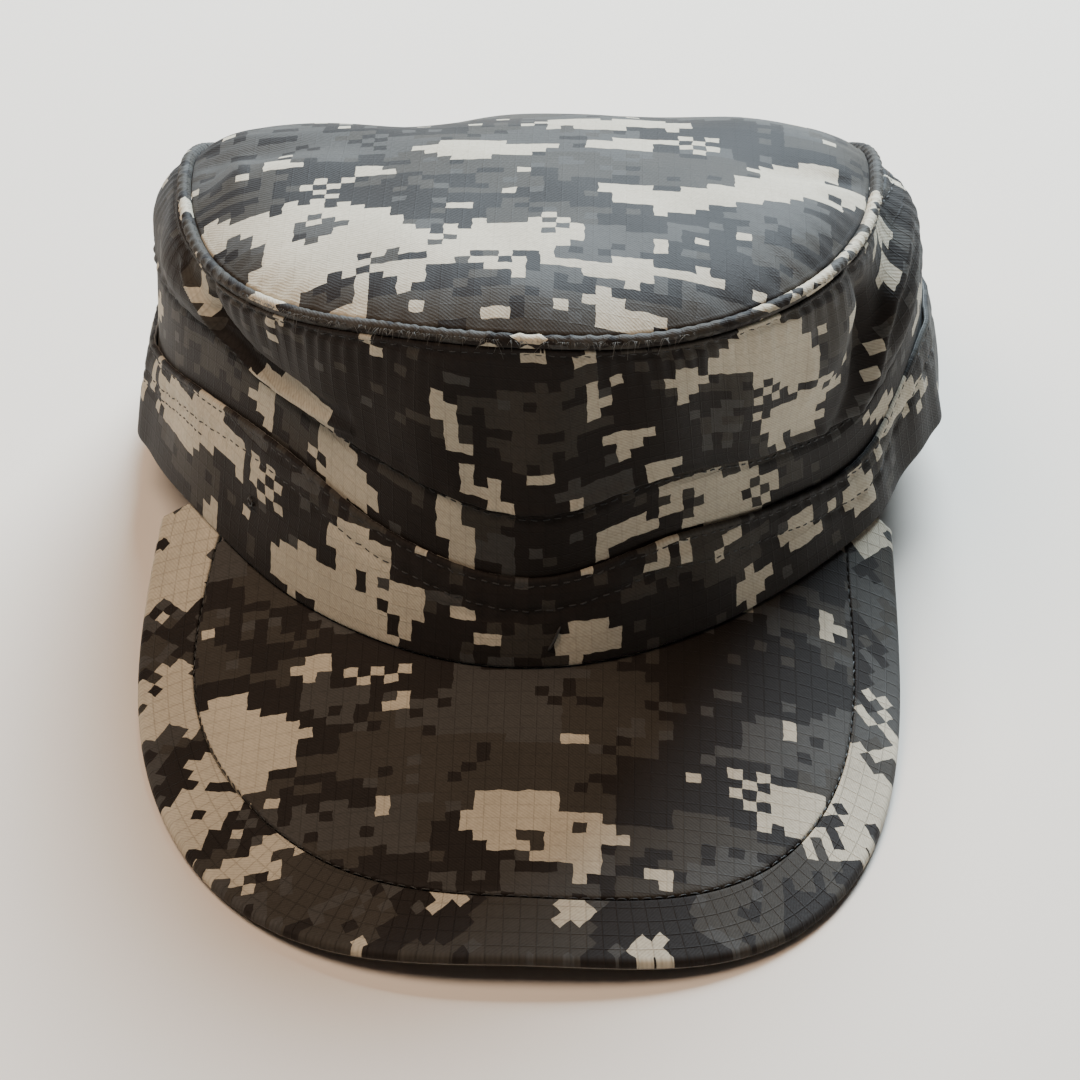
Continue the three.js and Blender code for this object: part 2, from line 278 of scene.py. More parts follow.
def near_line(line, x, y):
    """Distance of places (x, y) from a bent line, and how far along it they lie, 0 to 1."""
    corners = np.asarray(line, float)
    lengths = np.hypot(*np.diff(corners, axis=0).T)
    distance = np.full(np.shape(x), np.inf)
    along = np.zeros(np.shape(x))
    passed = 0.0
    for (ax, ay), (bx, by), length in zip(corners[:-1], corners[1:], lengths):
        part = np.clip(((x - ax) * (bx - ax) + (y - ay) * (by - ay)) / length**2, 0, 1)
        away = np.hypot(x - ax - part * (bx - ax), y - ay - part * (by - ay))
        along = np.where(away < distance, (passed + part * length) / lengths.sum(), along)
        distance = np.minimum(distance, away)
        passed += length
    return distance, along


def creases(folds, x, y):
    """Sum of ridges along bent lines, each fading out over its two ends."""
    total = np.zeros(np.shape(x))
    for crease in folds:
        distance, along = near_line(crease["line"], x, y)
        fade = np.sin(np.pi * np.clip(along, 0, 1)) ** 0.5
        total = total + crease["depth"] * fade * bell(distance, crease["width"])
    return total


def wall_creases(folds, turn, rise):
    """Creases given by (turn, rise), measured in millimetres on the wall."""
    size = np.array([ARC_PER_TURN, MEAN_WALL])
    scaled = [dict(fold, line=np.array(fold["line"]) * size) for fold in folds]
    return creases(scaled, turn * ARC_PER_TURN, rise * MEAN_WALL + 0 * turn)


def puckers(along, distance, pitch, reach, seed, depth=1):
    """Little folds into a seam: waves along it of uneven pitch, dying away over reach."""
    wander = 1.9 * np.sin(along * 0.083 + seed) + 1.2 * np.sin(along * 0.031 + 2.3 * seed)
    strength = 0.6 + 0.4 * np.sin(along * 0.057 + 1.7 * seed)
    wave = np.sin(2 * np.pi * along / pitch + wander)
    return depth * (wave * strength * np.exp(-np.abs(distance) / reach))


# Spread of the slant of such waves, in radians to a millimetre of height.
WAVE_SLANT = 0.06


def waver(turn, height, seed, depth=1, count=14, slowest=5, fastest=24):
    """Slack of the cloth: sum of slanting waves that close up round the head."""
    draw = np.random.default_rng(seed)
    total = np.zeros(np.broadcast(turn, height).shape)
    for _ in range(count):
        rounds = draw.integers(slowest, fastest)
        slant = draw.normal(0, WAVE_SLANT)
        phase = draw.uniform(0, 2 * np.pi)
        total = total + np.sin(rounds * np.radians(turn) + slant * height + phase)
    return depth * (total / math.sqrt(count))


def ripple(x, y, seed, depth=1, count=12, longest=60, shortest=16):
    """Slack of a flat panel: sum of plane waves of chosen lengths in any direction."""
    draw = np.random.default_rng(seed)
    total = np.zeros(np.broadcast(x, y).shape)
    for _ in range(count):
        number = 2 * np.pi / draw.uniform(shortest, longest)
        way = draw.uniform(0, 2 * np.pi)
        phase = draw.uniform(0, 2 * np.pi)
        total = total + np.sin(number * (x * math.cos(way) + y * math.sin(way)) + phase)
    return depth * (total / math.sqrt(count))


# Steps round the head by which the length of an edge is summed up.
ARC_STEPS = 1440


def arc_round(edge, turn):
    """Arc length along an edge from the front, in millimetres, at each turn."""
    fine = turns_round(ARC_STEPS)[:, 0]
    steps = np.linalg.norm(np.diff(edge_point(edge, fine), axis=0), axis=1)
    arc = np.concatenate([[0], np.cumsum(steps)])
    return np.interp(turn, fine, arc - np.interp(0, fine, arc))


# Rows of stitches, by their distance from the edge that they follow.
WELT_ROW = 1.5
SEAM_ROW = 1.3
FOLD_ROW = 1.6
BAND_ROW = 7.0
SECOND_ROW = 9.6
SECOND_ROW_TURNS = (-116, -58)
SECOND_ROW_FADE = 8

# How far the crown wall stands out over the band at their seam, how soon that ends, and
# the gap between the two.
SEAM_STEP = 0.7
SEAM_REACH = 1.4
SEAM_CLEARANCE = 0.05


def groove(distance, depth=0.4, width=0.9):
    """The line that a row of stitches draws into the cloth."""
    return -depth * bell(distance, width)


def lower_band_face(turn, rise):
    """Outer face of the lower band: from the hem up to the fold, with its creases."""
    foot, head = edge_point("hem", turn), edge_point("fold", turn)
    height = head[..., 2] - foot[..., 2]
    down = (1 - rise) * height
    arc = arc_round("hem", turn)
    relief = wall_creases(LOWER_BAND_CREASES, turn, rise)
    relief = relief + waver(turn, rise * height, seed=11, depth=0.35) * np.sin(np.pi * rise)
    relief = relief + groove(down - FOLD_ROW) + groove(down - BAND_ROW)
    middle, half = np.mean(SECOND_ROW_TURNS), np.ptp(SECOND_ROW_TURNS) / 2
    inside = np.clip(SECOND_ROW_FADE * (1 - np.abs(turn - middle) / half), 0, 1)
    relief = relief + groove(down - SECOND_ROW) * inside
    relief = relief + puckers(arc, down - BAND_ROW, pitch=6.1, reach=3.0, seed=1.0, depth=0.22)
    relief = relief + puckers(arc, down - FOLD_ROW, pitch=4.3, reach=2.0, seed=2.0, depth=0.12)
    return mix(foot, head, rise) + outward("hem", turn) * relief[..., None]


def middle_band_face(turn, rise):
    """Outer face of the middle band: behind the lower band for a lap, then to the seam."""
    foot, head = edge_point("hem", turn), edge_point("fold", turn)
    height = head[..., 2] - foot[..., 2]
    lapped = np.clip(rise / LAP_RISE, 0, 1)
    free = np.clip((rise - LAP_RISE) / (1 - LAP_RISE), 0, 1)
    start = mix(foot, head, 1 - BAND_LAP / height * (1 - lapped))
    start = start - outward("hem", turn) * (BAND_THICK + GAP)
    seam = edge_point("seam", turn)
    open_height = np.linalg.norm(seam - start, axis=-1)
    down = (1 - free) * open_height
    arc = arc_round("seam", turn)
    relief = waver(turn, free * open_height, seed=12, depth=0.3) * np.sin(np.pi * free)
    relief = relief - SEAM_STEP * bell(down, SEAM_REACH)
    below = down - SEAM_ROW
    sewn = groove(below, depth=0.35, width=0.8)
    sewn = sewn + puckers(arc, below, pitch=4.9, reach=3.0, seed=4.0, depth=0.14)
    relief = relief + sewn * free
    return mix(start, seam, free) + outward("seam", turn) * relief[..., None]


def crown_wall_face(turn, rise):
    """Outer face of the crown wall: from the seam to the welt, with its folds."""
    foot, head = edge_point("seam", turn), edge_point("top", turn)
    foot[..., 2] += SEAM_CLEARANCE
    head[..., 2] -= WELT_RADIUS
    height = np.linalg.norm(head - foot, axis=-1)
    free = np.sin(np.pi * np.clip(rise, 0, 1)) ** FOLD_FADE
    relief = column("bulge", turn) * np.sin(np.pi * rise)
    for fold in WALL_FOLDS:
        line = fold["foot"] + (fold["head"] - fold["foot"]) * rise
        relief = relief + fold["depth"] * free * bell(turn_between(turn, line), fold["width"])
    relief = relief + wall_creases(CROWN_WALL_CREASES, turn, rise)
    relief = relief + waver(turn, rise * height, seed=13, depth=0.6) * free
    down = (1 - rise) * height
    arc = arc_round("seam", turn)
    sewn = np.clip((down - WALL_THICK / 2) / (WELT_ROW - WALL_THICK / 2), 0, 1)
    gathered = puckers(arc, down, pitch=3.7, reach=7.0, seed=3.0, depth=0.45) * sewn
    relief = relief + groove(down - WELT_ROW, depth=0.7, width=0.8) + gathered
    relief = relief + puckers(arc, rise * height, pitch=6.3, reach=5.0, seed=5.0, depth=0.2)
    relief = relief + SEAM_STEP * bell(rise * height, SEAM_REACH)
    return mix(foot, head, rise) + outward("seam", turn) * relief[..., None]


def top_tilt(turn):
    """The part of the top edge's height that swings once round the head."""
    turns = np.arange(len(ROUND["top"])) * ROUND_STEP - 180
    across = 2 * np.mean(np.array(ROUND["top"]) * np.sin(np.radians(turns)))
    ahead = 2 * np.mean(np.array(ROUND["top"]) * np.cos(np.radians(turns)))
    return across * np.sin(np.radians(turn)) + ahead * np.cos(np.radians(turn))


def crown_top_face(turn, reach):
    """Upper face of the crown's top: a tilted plane in its middle that meets the welt at
    reach 1, puffed up inside it and dented, with little folds into the welt."""
    inset = 2 * WELT_RADIUS + TOP_GAP
    rim = edge_point("top", turn) - outward("top", turn) * inset
    tilt = top_tilt(turn)
    plan = PLANS["top"]
    puff = PUFF_MIDDLE * (1 - reach**2) + column("puff", turn) * reach**2
    x = plan["aside"] + (rim[..., 0] - plan["aside"]) * reach
    y = plan["behind"] + (rim[..., 1] - plan["behind"]) * reach
    slump = (1 - reach**2) * TOP_MIDDLE_HEIGHT + reach**2 * (rim[..., 2] - tilt) + reach * tilt
    dents = np.zeros(np.shape(x))
    for dent in TOP_DENTS:
        oval = np.hypot((x - dent["x"]) / dent["long"], (y - dent["y"]) / dent["across"])
        dents = dents + dent["depth"] * bell(oval, 1)
    dents = dents + ripple(x, y, seed=21, depth=0.45)
    inside = (1 - reach) * np.hypot(rim[..., 0] - plan["aside"], rim[..., 1] - plan["behind"])
    folds = puckers(arc_round("top", turn), inside, pitch=6.7, reach=7.0, seed=6.0, depth=0.55)
    free = 1 - reach**PUFF_POWER
    settled = np.minimum(inside / TOP_SETTLE, 1)
    return np.stack([x, y, slump + (puff + dents) * free + folds * settled * reach], -1)


def welt_line(turn):
    """Middle line of the welt, a radius inside the crown's top edge."""
    return edge_point("top", turn) - outward("top", turn) * WELT_RADIUS


def peak_edge(across):
    """Edge of the peak, from -1 at the wearer's right to 1: a rounded rectangle."""
    side, ahead = np.sin(across * np.pi / 2), np.cos(across * np.pi / 2)
    square = np.where(across < 0, PEAK_RIGHT["square"], PEAK_LEFT["square"])
    flare = np.where(across < 0, PEAK_RIGHT["flare"], PEAK_LEFT["flare"])
    wide = np.abs(side / PEAK["half_width"]) ** square
    long = np.abs(ahead / PEAK["length"]) ** square
    reach = (wide + long) ** (-1 / square)
    forward = reach * ahead
    narrowing = flare * (1 - np.clip(forward / PEAK_FLARE_LENGTH, 0, 1)) ** 2
    x = reach * side * (1 - narrowing)
    side_share = np.clip(1 - forward / (PEAK_SIDE_SHARE * PEAK["length"]), 0, 1)
    side_height = edge_point("hem", PEAK_TURN * np.sign(across))[..., 2] - PEAK_SIDE_DROP
    side_rise = (side_height - PEAK_THICK) * side_share**PEAK_SIDE_POWER
    arch = PEAK_ARCH * np.cos(np.clip(np.abs(x) / PEAK_ARCH_WIDTH, 0, 1) * np.pi / 2) ** 2
    return np.stack([PEAK["aside"] + x, PEAK["rear"] - forward, PEAK_THICK + side_rise + arch], -1)


def peak_face(across, out):
    """Upper face of the peak: straight out from the hem at 0 to the edge at 1."""
    turn = PEAK_TURN * across
    root = edge_point("hem", turn) - outward("hem", turn) * PEAK_INSET
    root[..., 2] -= GAP
    edge = peak_edge(across)
    point = mix(root, edge, out)
    point[..., 2] = root[..., 2] + (edge[..., 2] - root[..., 2]) * out**PEAK_FALL_POWER
    return point


def border_seam(across):
    """Share of the way out at which the border's seam crosses."""
    share = np.clip(np.abs(across) / BORDER_SEAM["ends"], 0, 1)
    stray = SEAM_STRAY["depth"] * bell(across - SEAM_STRAY["at"], SEAM_STRAY["width"])
    shape = (1 - share ** BORDER_SEAM["square"]) ** BORDER_SEAM["round"]
    return (BORDER_SEAM["middle"] - stray) * shape


def cap_shift():
    """From the shape functions' frame to the solid model's, by the lower band's box."""
    hem = PLANS["hem"]
    corner = Vector((hem["aside"] + hem["half_width"], hem["behind"] + hem["back"], 0)) * MM
    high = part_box("lower_band")[1]
    return np.array([high.x - corner.x, high.y - corner.y, 0.0])


def place_piece(name, mesh, materials, node=None):
    """Puts a smooth mesh into the scene as one piece of the cap."""
    for material in materials:
        mesh.materials.append(material)
    mesh.polygons.foreach_set("use_smooth", np.ones(len(mesh.polygons), bool))
    mesh.update()
    piece = bpy.data.objects.new(name, mesh)
    bpy.context.scene.collection.objects.link(piece)
    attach(piece, "root")
    if node:
        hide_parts(node)


def cloth_object(name, grid, uv, inner, materials, node=None):
    """Makes a closed piece of cloth from a grid of points, in millimetres, and its pattern
    places. Points that the grid repeats, round the head or at a pole, become one."""
    rows, places = grid.shape[:2]
    points = grid.reshape(-1, 3) * MM + cap_shift()
    index = np.arange(rows * places).reshape(rows, places)
    corners = np.stack([index[:-1, :-1], index[1:, :-1], index[1:, 1:], index[:-1, 1:]], -1)
    faces = corners.reshape(-1, 4)
    mesh = bpy.data.meshes.new(name)
    mesh.from_pydata(points, [], faces)
    layer = mesh.uv_layers.new(name="Cloth")
    layer.data.foreach_set("uv", (uv.reshape(-1, 2)[faces] * MM).astype(np.float32).ravel())
    mesh.polygons.foreach_set("material_index", inner[:-1, :-1].ravel().astype(np.int32))
    shell = bmesh.new()
    shell.from_mesh(mesh)
    bmesh.ops.remove_doubles(shell, verts=shell.verts, dist=SMALL)
    bmesh.ops.dissolve_degenerate(shell, dist=SMALL, edges=shell.edges)
    shell.to_mesh(mesh)
    shell.free()
    place_piece(name, mesh, materials, node)


def wall_section(rows, cap=4):
    """Section of a wall of cloth with round edges, as arrays of how high up it each place
    is, how far out from its middle, -1 to 1, and how far past its ends, -1 to 1."""
    rise = np.linspace(0, 1, rows + 1)
    angle = np.linspace(0, np.pi, cap + 2)[1:-1]
    flat = np.zeros(rows + 1)
    rises = np.concatenate([rise, np.ones(cap), rise[::-1], np.zeros(cap), [0]])
    outs = np.concatenate([flat + 1, np.cos(angle), flat - 1, -np.cos(angle), [1]])
    pasts = np.concatenate([flat, np.sin(angle), flat, -np.sin(angle), [0]])
    return rises, outs, pasts


# Places round the head at which a wall's section stands.
WALL_PLACES = 900


def wall_piece(name, face, edge, rows, thick, materials):
    """A wall of cloth round the whole head. Its middle surface lies half its thickness
    inside face(turn, rise), and its section is carried round that surface."""
    turn = turns_round(WALL_PLACES)
    rises, outs, pasts = wall_section(rows)
    low, high = ends_of(face, turn)
    height = np.linalg.norm(high - low, axis=-1, keepdims=True)
    trimmed = (thick / 2 / height[..., 0]) + rises[None] * (1 - thick / height[..., 0])
    out = outward(edge, turn)
    surface = face(turn + 0 * trimmed, trimmed)
    up = (high - low) / height
    grid = surface + thick / 2 * (out * (outs - 1)[:, None] + up * pasts[:, None])
    arc = arc_round(edge, turn)
    uv = np.stack([arc + 0 * trimmed, trimmed * height[..., 0]], -1)
    inner = np.broadcast_to(outs < 0, trimmed.shape)
    cloth_object(name + "_cloth", grid, uv, inner, materials, name)


def surface_frame(face, turn, rise):
    """Points of a face and its outward normals there, from small steps of turn and rise."""
    step = 0.02
    along = face(turn + step, rise) - face(turn - step, rise)
    up = face(turn, rise + step / 2) - face(turn, rise - step / 2)
    return face(turn, rise), unit(np.cross(along, up))


# Rings and sides of a stitch's tube, half its length as a share of the pitch, its height as
# a share of its width, and how much its place, its length and its direction vary.
STITCH_RINGS = 5
STITCH_SIDES = 6
STITCH_HALF = 0.41
STITCH_FLATNESS = 0.8
STITCH_STRAY = dict(place=0.03, half=0.02, skew=0.12)


def stitch_row(path, normal, pitch, thick, seed):
    """Stitches along a finely stepped path on the cloth. Each is a short tube that rises
    from the cloth and dips back into it: its height over the cloth is thick times
    0.2 - 0.8 s^4 and its width falls off as the square root of 1 - 0.75 s^6, s from -1 to 1."""
    steps = np.linalg.norm(np.diff(path, axis=0), axis=1)
    arc = np.concatenate([[0], np.cumsum(steps)])
    count = max(int(arc[-1] / pitch), 1)
    draw = np.random.default_rng(seed)
    middles = (np.arange(count) + 0.5) * arc[-1] / count
    middles = middles + draw.normal(0, STITCH_STRAY["place"] * pitch, count)
    halves = pitch * (STITCH_HALF + draw.normal(0, STITCH_STRAY["half"], count))
    s = np.linspace(-1, 1, STITCH_RINGS)
    places = middles[:, None] + halves[:, None] * s[None]
    centre, out = follow(places, arc, path), follow(places, arc, normal)
    side = unit(np.cross(out, unit(np.gradient(centre, axis=1))))
    skew = draw.normal(0, STITCH_STRAY["skew"], count) * halves
    skew = skew[:, None, None] * s[:, None]
    radius = thick / 2 * np.sqrt(1 - 0.75 * s**6)
    lift = thick * (0.2 - 0.8 * s**4)
    angle = np.linspace(0, 2 * np.pi, STITCH_SIDES + 1)[:, None]
    ring = np.cos(angle) * side[:, :, None] + STITCH_FLATNESS * np.sin(angle) * out[:, :, None]
    middle = centre + side * skew + out * lift[:, None]
    return middle[:, :, None] + radius[:, None, None] * ring


def stitching(name, rows, material):
    """Joins rows of short tubes to one piece. Each tube gets closed ends."""
    tubes = np.concatenate(rows)[:, :, :-1]
    sides = tubes.shape[2]
    points = tubes.reshape(-1, 3) * MM + cap_shift()
    index = np.arange(tubes.size // 3).reshape(tubes.shape[:3])
    after = np.roll(index, -1, axis=2)
    walls = np.stack([index[:, :-1], after[:, :-1], after[:, 1:], index[:, 1:]], -1).reshape(-1, 4)
    starts = index[:, 0, ::-1].reshape(-1, sides)
    ends = index[:, -1].reshape(-1, sides)
    mesh = bpy.data.meshes.new(name)
    mesh.from_pydata(points, [], [*walls.tolist(), *starts.tolist(), *ends.tolist()])
    place_piece(name, mesh, [material])


# Worn hairs: their mean length and their radius in millimetres, how much of that they lose
# to their tips, how far they stray from straight out and how far they sag.
HAIR = dict(length=0.9, radius=0.07, taper=0.7, stray=0.9, sag=0.45, sides=3)
# Directions that no hair and no thread runs along, to set their rings by.
ASLANT = dict(hair=(0.21, 0.43, 0.88), thread=(0.3, 0.2, 0.93))
# A loose thread's radius, its steps from one given place to the next, how often its line
# is smoothed, and its places round.
LOOSE = dict(radius=0.3, steps=8, smoothings=6, sides=7)


def rings(way, aslant, sides):
    """Rings of places round directions, at distance 1. The first place comes again last."""
    side = unit(np.cross(way, aslant))
    angle = np.linspace(0, 2 * np.pi, sides + 1)[:, None]
    return np.cos(angle) * side[:, None] + np.sin(angle) * np.cross(side, way)[:, None]


def fray(path, normal, count, seed):
    """Short fine hairs standing off a path: each a thin tube, three-sided, that leaves the
    path in a random direction outwards and droops with the square of its length."""
    draw = np.random.default_rng(seed)
    places = draw.uniform(0, len(path) - 1, count)
    at = np.arange(len(path))
    way = unit(follow(places, at, normal) + draw.normal(0, HAIR["stray"], (count, 3)))
    length = draw.gamma(2.0, HAIR["length"] / 2, count)[:, None, None]
    s = np.linspace(0, 1, 5)[None, :, None]
    sag = np.array([0, 0, -HAIR["sag"]])
    middle = follow(places, at, path)[:, None] + length * (s * way[:, None] + s**2 * sag)
    ring = rings(way, ASLANT["hair"], HAIR["sides"])[:, None]
    return middle[:, :, None] + HAIR["radius"] * (1 - HAIR["taper"] * s[..., None]) * ring


# Steps along a row of stitches by which its path is worked out.
ROW_STEPS = 2000


def wall_row(face, below, pitch, thick, seed, start=-180.0, end=180.0):
    """A row of stitches on a wall, below its upper edge, from one turn to another."""
    turn = np.linspace(start, end, ROW_STEPS + 1)[:, None]
    low, high = ends_of(face, turn)
    height = np.linalg.norm(high - low, axis=-1)
    point, normal = surface_frame(face, turn, 1 - below / height)
    return stitch_row(point[:, 0], normal[:, 0], pitch, thick, seed)


def thread_material():
    """Dark sewing thread, twisted and a little glossy."""
    sewing = bpy.context.scene.cap_sewing
    material, nodes, shader = new_material("Thread")
    place = nodes.add("ShaderNodeTexCoord").outputs["Object"]
    uneven = nodes.add("ShaderNodeTexNoise", dict(Vector=place, Scale=900.0, Detail=2.0))
    dull, bright = (colour(strength * np.array(sewing.thread)) for strength in (0.5, 1.6))
    tint = nodes.blend(uneven.outputs[0], dull, bright)
    twist = nodes.add("ShaderNodeTexWave", dict(Vector=place, Scale=700.0, Distortion=2.0))
    bump = nodes.bump(0.5, 0.0001, twist.outputs[1])
    nodes.fill(shader, {"Base Color": tint, "Normal": bump, "Roughness": 0.6})
    return material


def fray_material():
    """Worn hairs of the cloth's yarn, lighter towards some ends."""
    material, nodes, shader = new_material("Fray")
    place = nodes.add("ShaderNodeTexCoord").outputs["Object"]
    uneven = nodes.add("ShaderNodeTexNoise", dict(Vector=place, Scale=300.0, Detail=3.0))
    tint = nodes.blend(uneven.outputs[0], (0.02, 0.02, 0.02, 1.0), (0.22, 0.21, 0.19, 1.0))
    nodes.fill(shader, {"Base Color": tint, "Roughness": 0.8})
    return material


def thread_tube(line):
    """A bent tube of thread through a few places: a smooth line through them, with a ring
    of places round each of its points that narrows to nothing at both ends."""
    line = np.asarray(line, float)
    fine = np.linspace(0, len(line) - 1, LOOSE["steps"] * (len(line) - 1) + 1)
    rounded = follow(fine, np.arange(len(line)), line)
    for _ in range(LOOSE["smoothings"]):
        rounded[1:-1] = (rounded[:-2] + 2 * rounded[1:-1] + rounded[2:]) / 4
    ring = rings(unit(np.gradient(rounded, axis=0)), ASLANT["thread"], LOOSE["sides"])
    taper = LOOSE["radius"] * np.minimum(1, np.minimum(fine, fine[::-1]) * 3) ** 0.5
    return rounded[:, None] + taper[:, None, None] * ring


class Nodes:
    """Short ways to add and join a material's nodes."""

    def __init__(self, tree):
        self.tree = tree

    def add(self, kind, inputs=(), **settings):
        node = self.tree.nodes.new(kind)
        for key, value in settings.items():
            setattr(node, key, value)
        self.fill(node, inputs)
        return node

    def fill(self, node, inputs):
        for key, value in dict(inputs).items():
            if isinstance(value, bpy.types.NodeSocket):
                self.tree.links.new(value, node.inputs[key])
            else:
                node.inputs[key].default_value = value

    def math(self, operation, *values, clamp=False):
        inputs = dict(enumerate(values))
        return self.add("ShaderNodeMath", inputs, operation=operation, use_clamp=clamp).outputs[0]

    def vector(self, operation, *values, output=0):
        node = self.add("ShaderNodeVectorMath", dict(enumerate(values)), operation=operation)
        return node.outputs[output]

    def rotated(self, vector, angle):
        inputs = dict(Vector=vector, Angle=angle)
        return self.add("ShaderNodeVectorRotate", inputs, rotation_type="Z_AXIS").outputs[0]

    def shaded(self, tint, share):
        spread = self.add("ShaderNodeCombineXYZ", {0: share, 1: share, 2: share}).outputs[0]
        return self.vector("MULTIPLY", tint, spread)

    def bump(self, strength, distance, height):
        inputs = dict(Strength=strength, Distance=distance, Height=height)
        return self.add("ShaderNodeBump", inputs).outputs[0]

    def noise(self, place, scale, detail=2.0, roughness=0.5):
        inputs = dict(Vector=place, Scale=scale, Detail=detail, Roughness=roughness)
        return self.add("ShaderNodeTexNoise", inputs, noise_dimensions="2D").outputs[0]

    def blend(self, share, a, b):
        inputs = {0: share, 6: a, 7: b}
        return self.add("ShaderNodeMix", inputs, data_type="RGBA").outputs[2]


def new_material(name):
    """A material with an empty node tree, its output joined to a new cloth shader."""
    material = bpy.data.materials.new(name)
    material.use_nodes = True
    material.node_tree.nodes.clear()
    nodes = Nodes(material.node_tree)
    shader = nodes.add("ShaderNodeBsdfPrincipled")
    output = nodes.add("ShaderNodeOutputMaterial")
    nodes.fill(output, {0: shader.outputs[0]})
    return material, nodes, shader


def colour(value):
    """A property's colour with full alpha."""
    return (*value, 1.0)


# Direction across the twill lines, along and up the cloth.
TWILL_LEAN = (0.62, 0.78)


def weave(nodes, place, cloth):
    """Height of the cloth's weave, 0 to 1: slanting twill lines, broken up by a fine
    noise, and a grid of thicker rip-stop threads."""
    split = nodes.add("ShaderNodeSeparateXYZ", {0: place})
    u, v = split.outputs[0], split.outputs[1]
    slant = nodes.math("MULTIPLY_ADD", v, TWILL_LEAN[1], nodes.math("MULTIPLY", u, TWILL_LEAN[0]))
    twill = nodes.math("SINE", nodes.math("MULTIPLY", slant, 2 * math.pi / cloth.twill_pitch))
    broken = nodes.noise(place, 0.6 / cloth.twill_pitch, 2.0, 0.7)
    ribs = nodes.math("MULTIPLY_ADD", twill, 0.16, nodes.math("MULTIPLY", broken, 0.8))
    lines = []
    for way in (u, v):
        saw = nodes.math("PINGPONG", way, cloth.ripstop_pitch / 2)
        away = nodes.math("DIVIDE", saw, cloth.ripstop_width / 2)
        lines.append(nodes.math("SUBTRACT", 1.0, away, clamp=True))
    return ribs, nodes.math("MAXIMUM", *lines)


# How rare the blocks are that fall out of their patch, as a power.
ODD_RARITY = 14.0
# How strongly a patch gathers the light tone where its row doesn't say it, and what every
# patch adds to its weight.
USUAL_WEIGHT = 1.9
WEIGHT_LIFT = 0.25
# The print's blotches are longer than high by the inverse of this.
BLOTCH_STRETCH = 0.62
# The noises of the print's tones: how far their values spread, and how far apart in the
# noise the tones are taken.
TONE_SPREAD = 4.6
TONE_STEP = (0.37, 0.53)
# Slant of cloth cut across its weave.
ACROSS_WEAVE = math.pi / 4
# The print on the walls at the sides: darker, with fewer charcoal and grey blocks, which partly paints
# the shade on the walls, and with fewer stray light blocks.
WALL_PRINT_AND_SHADE = dict(gloom=0.45, rarer=0.2)


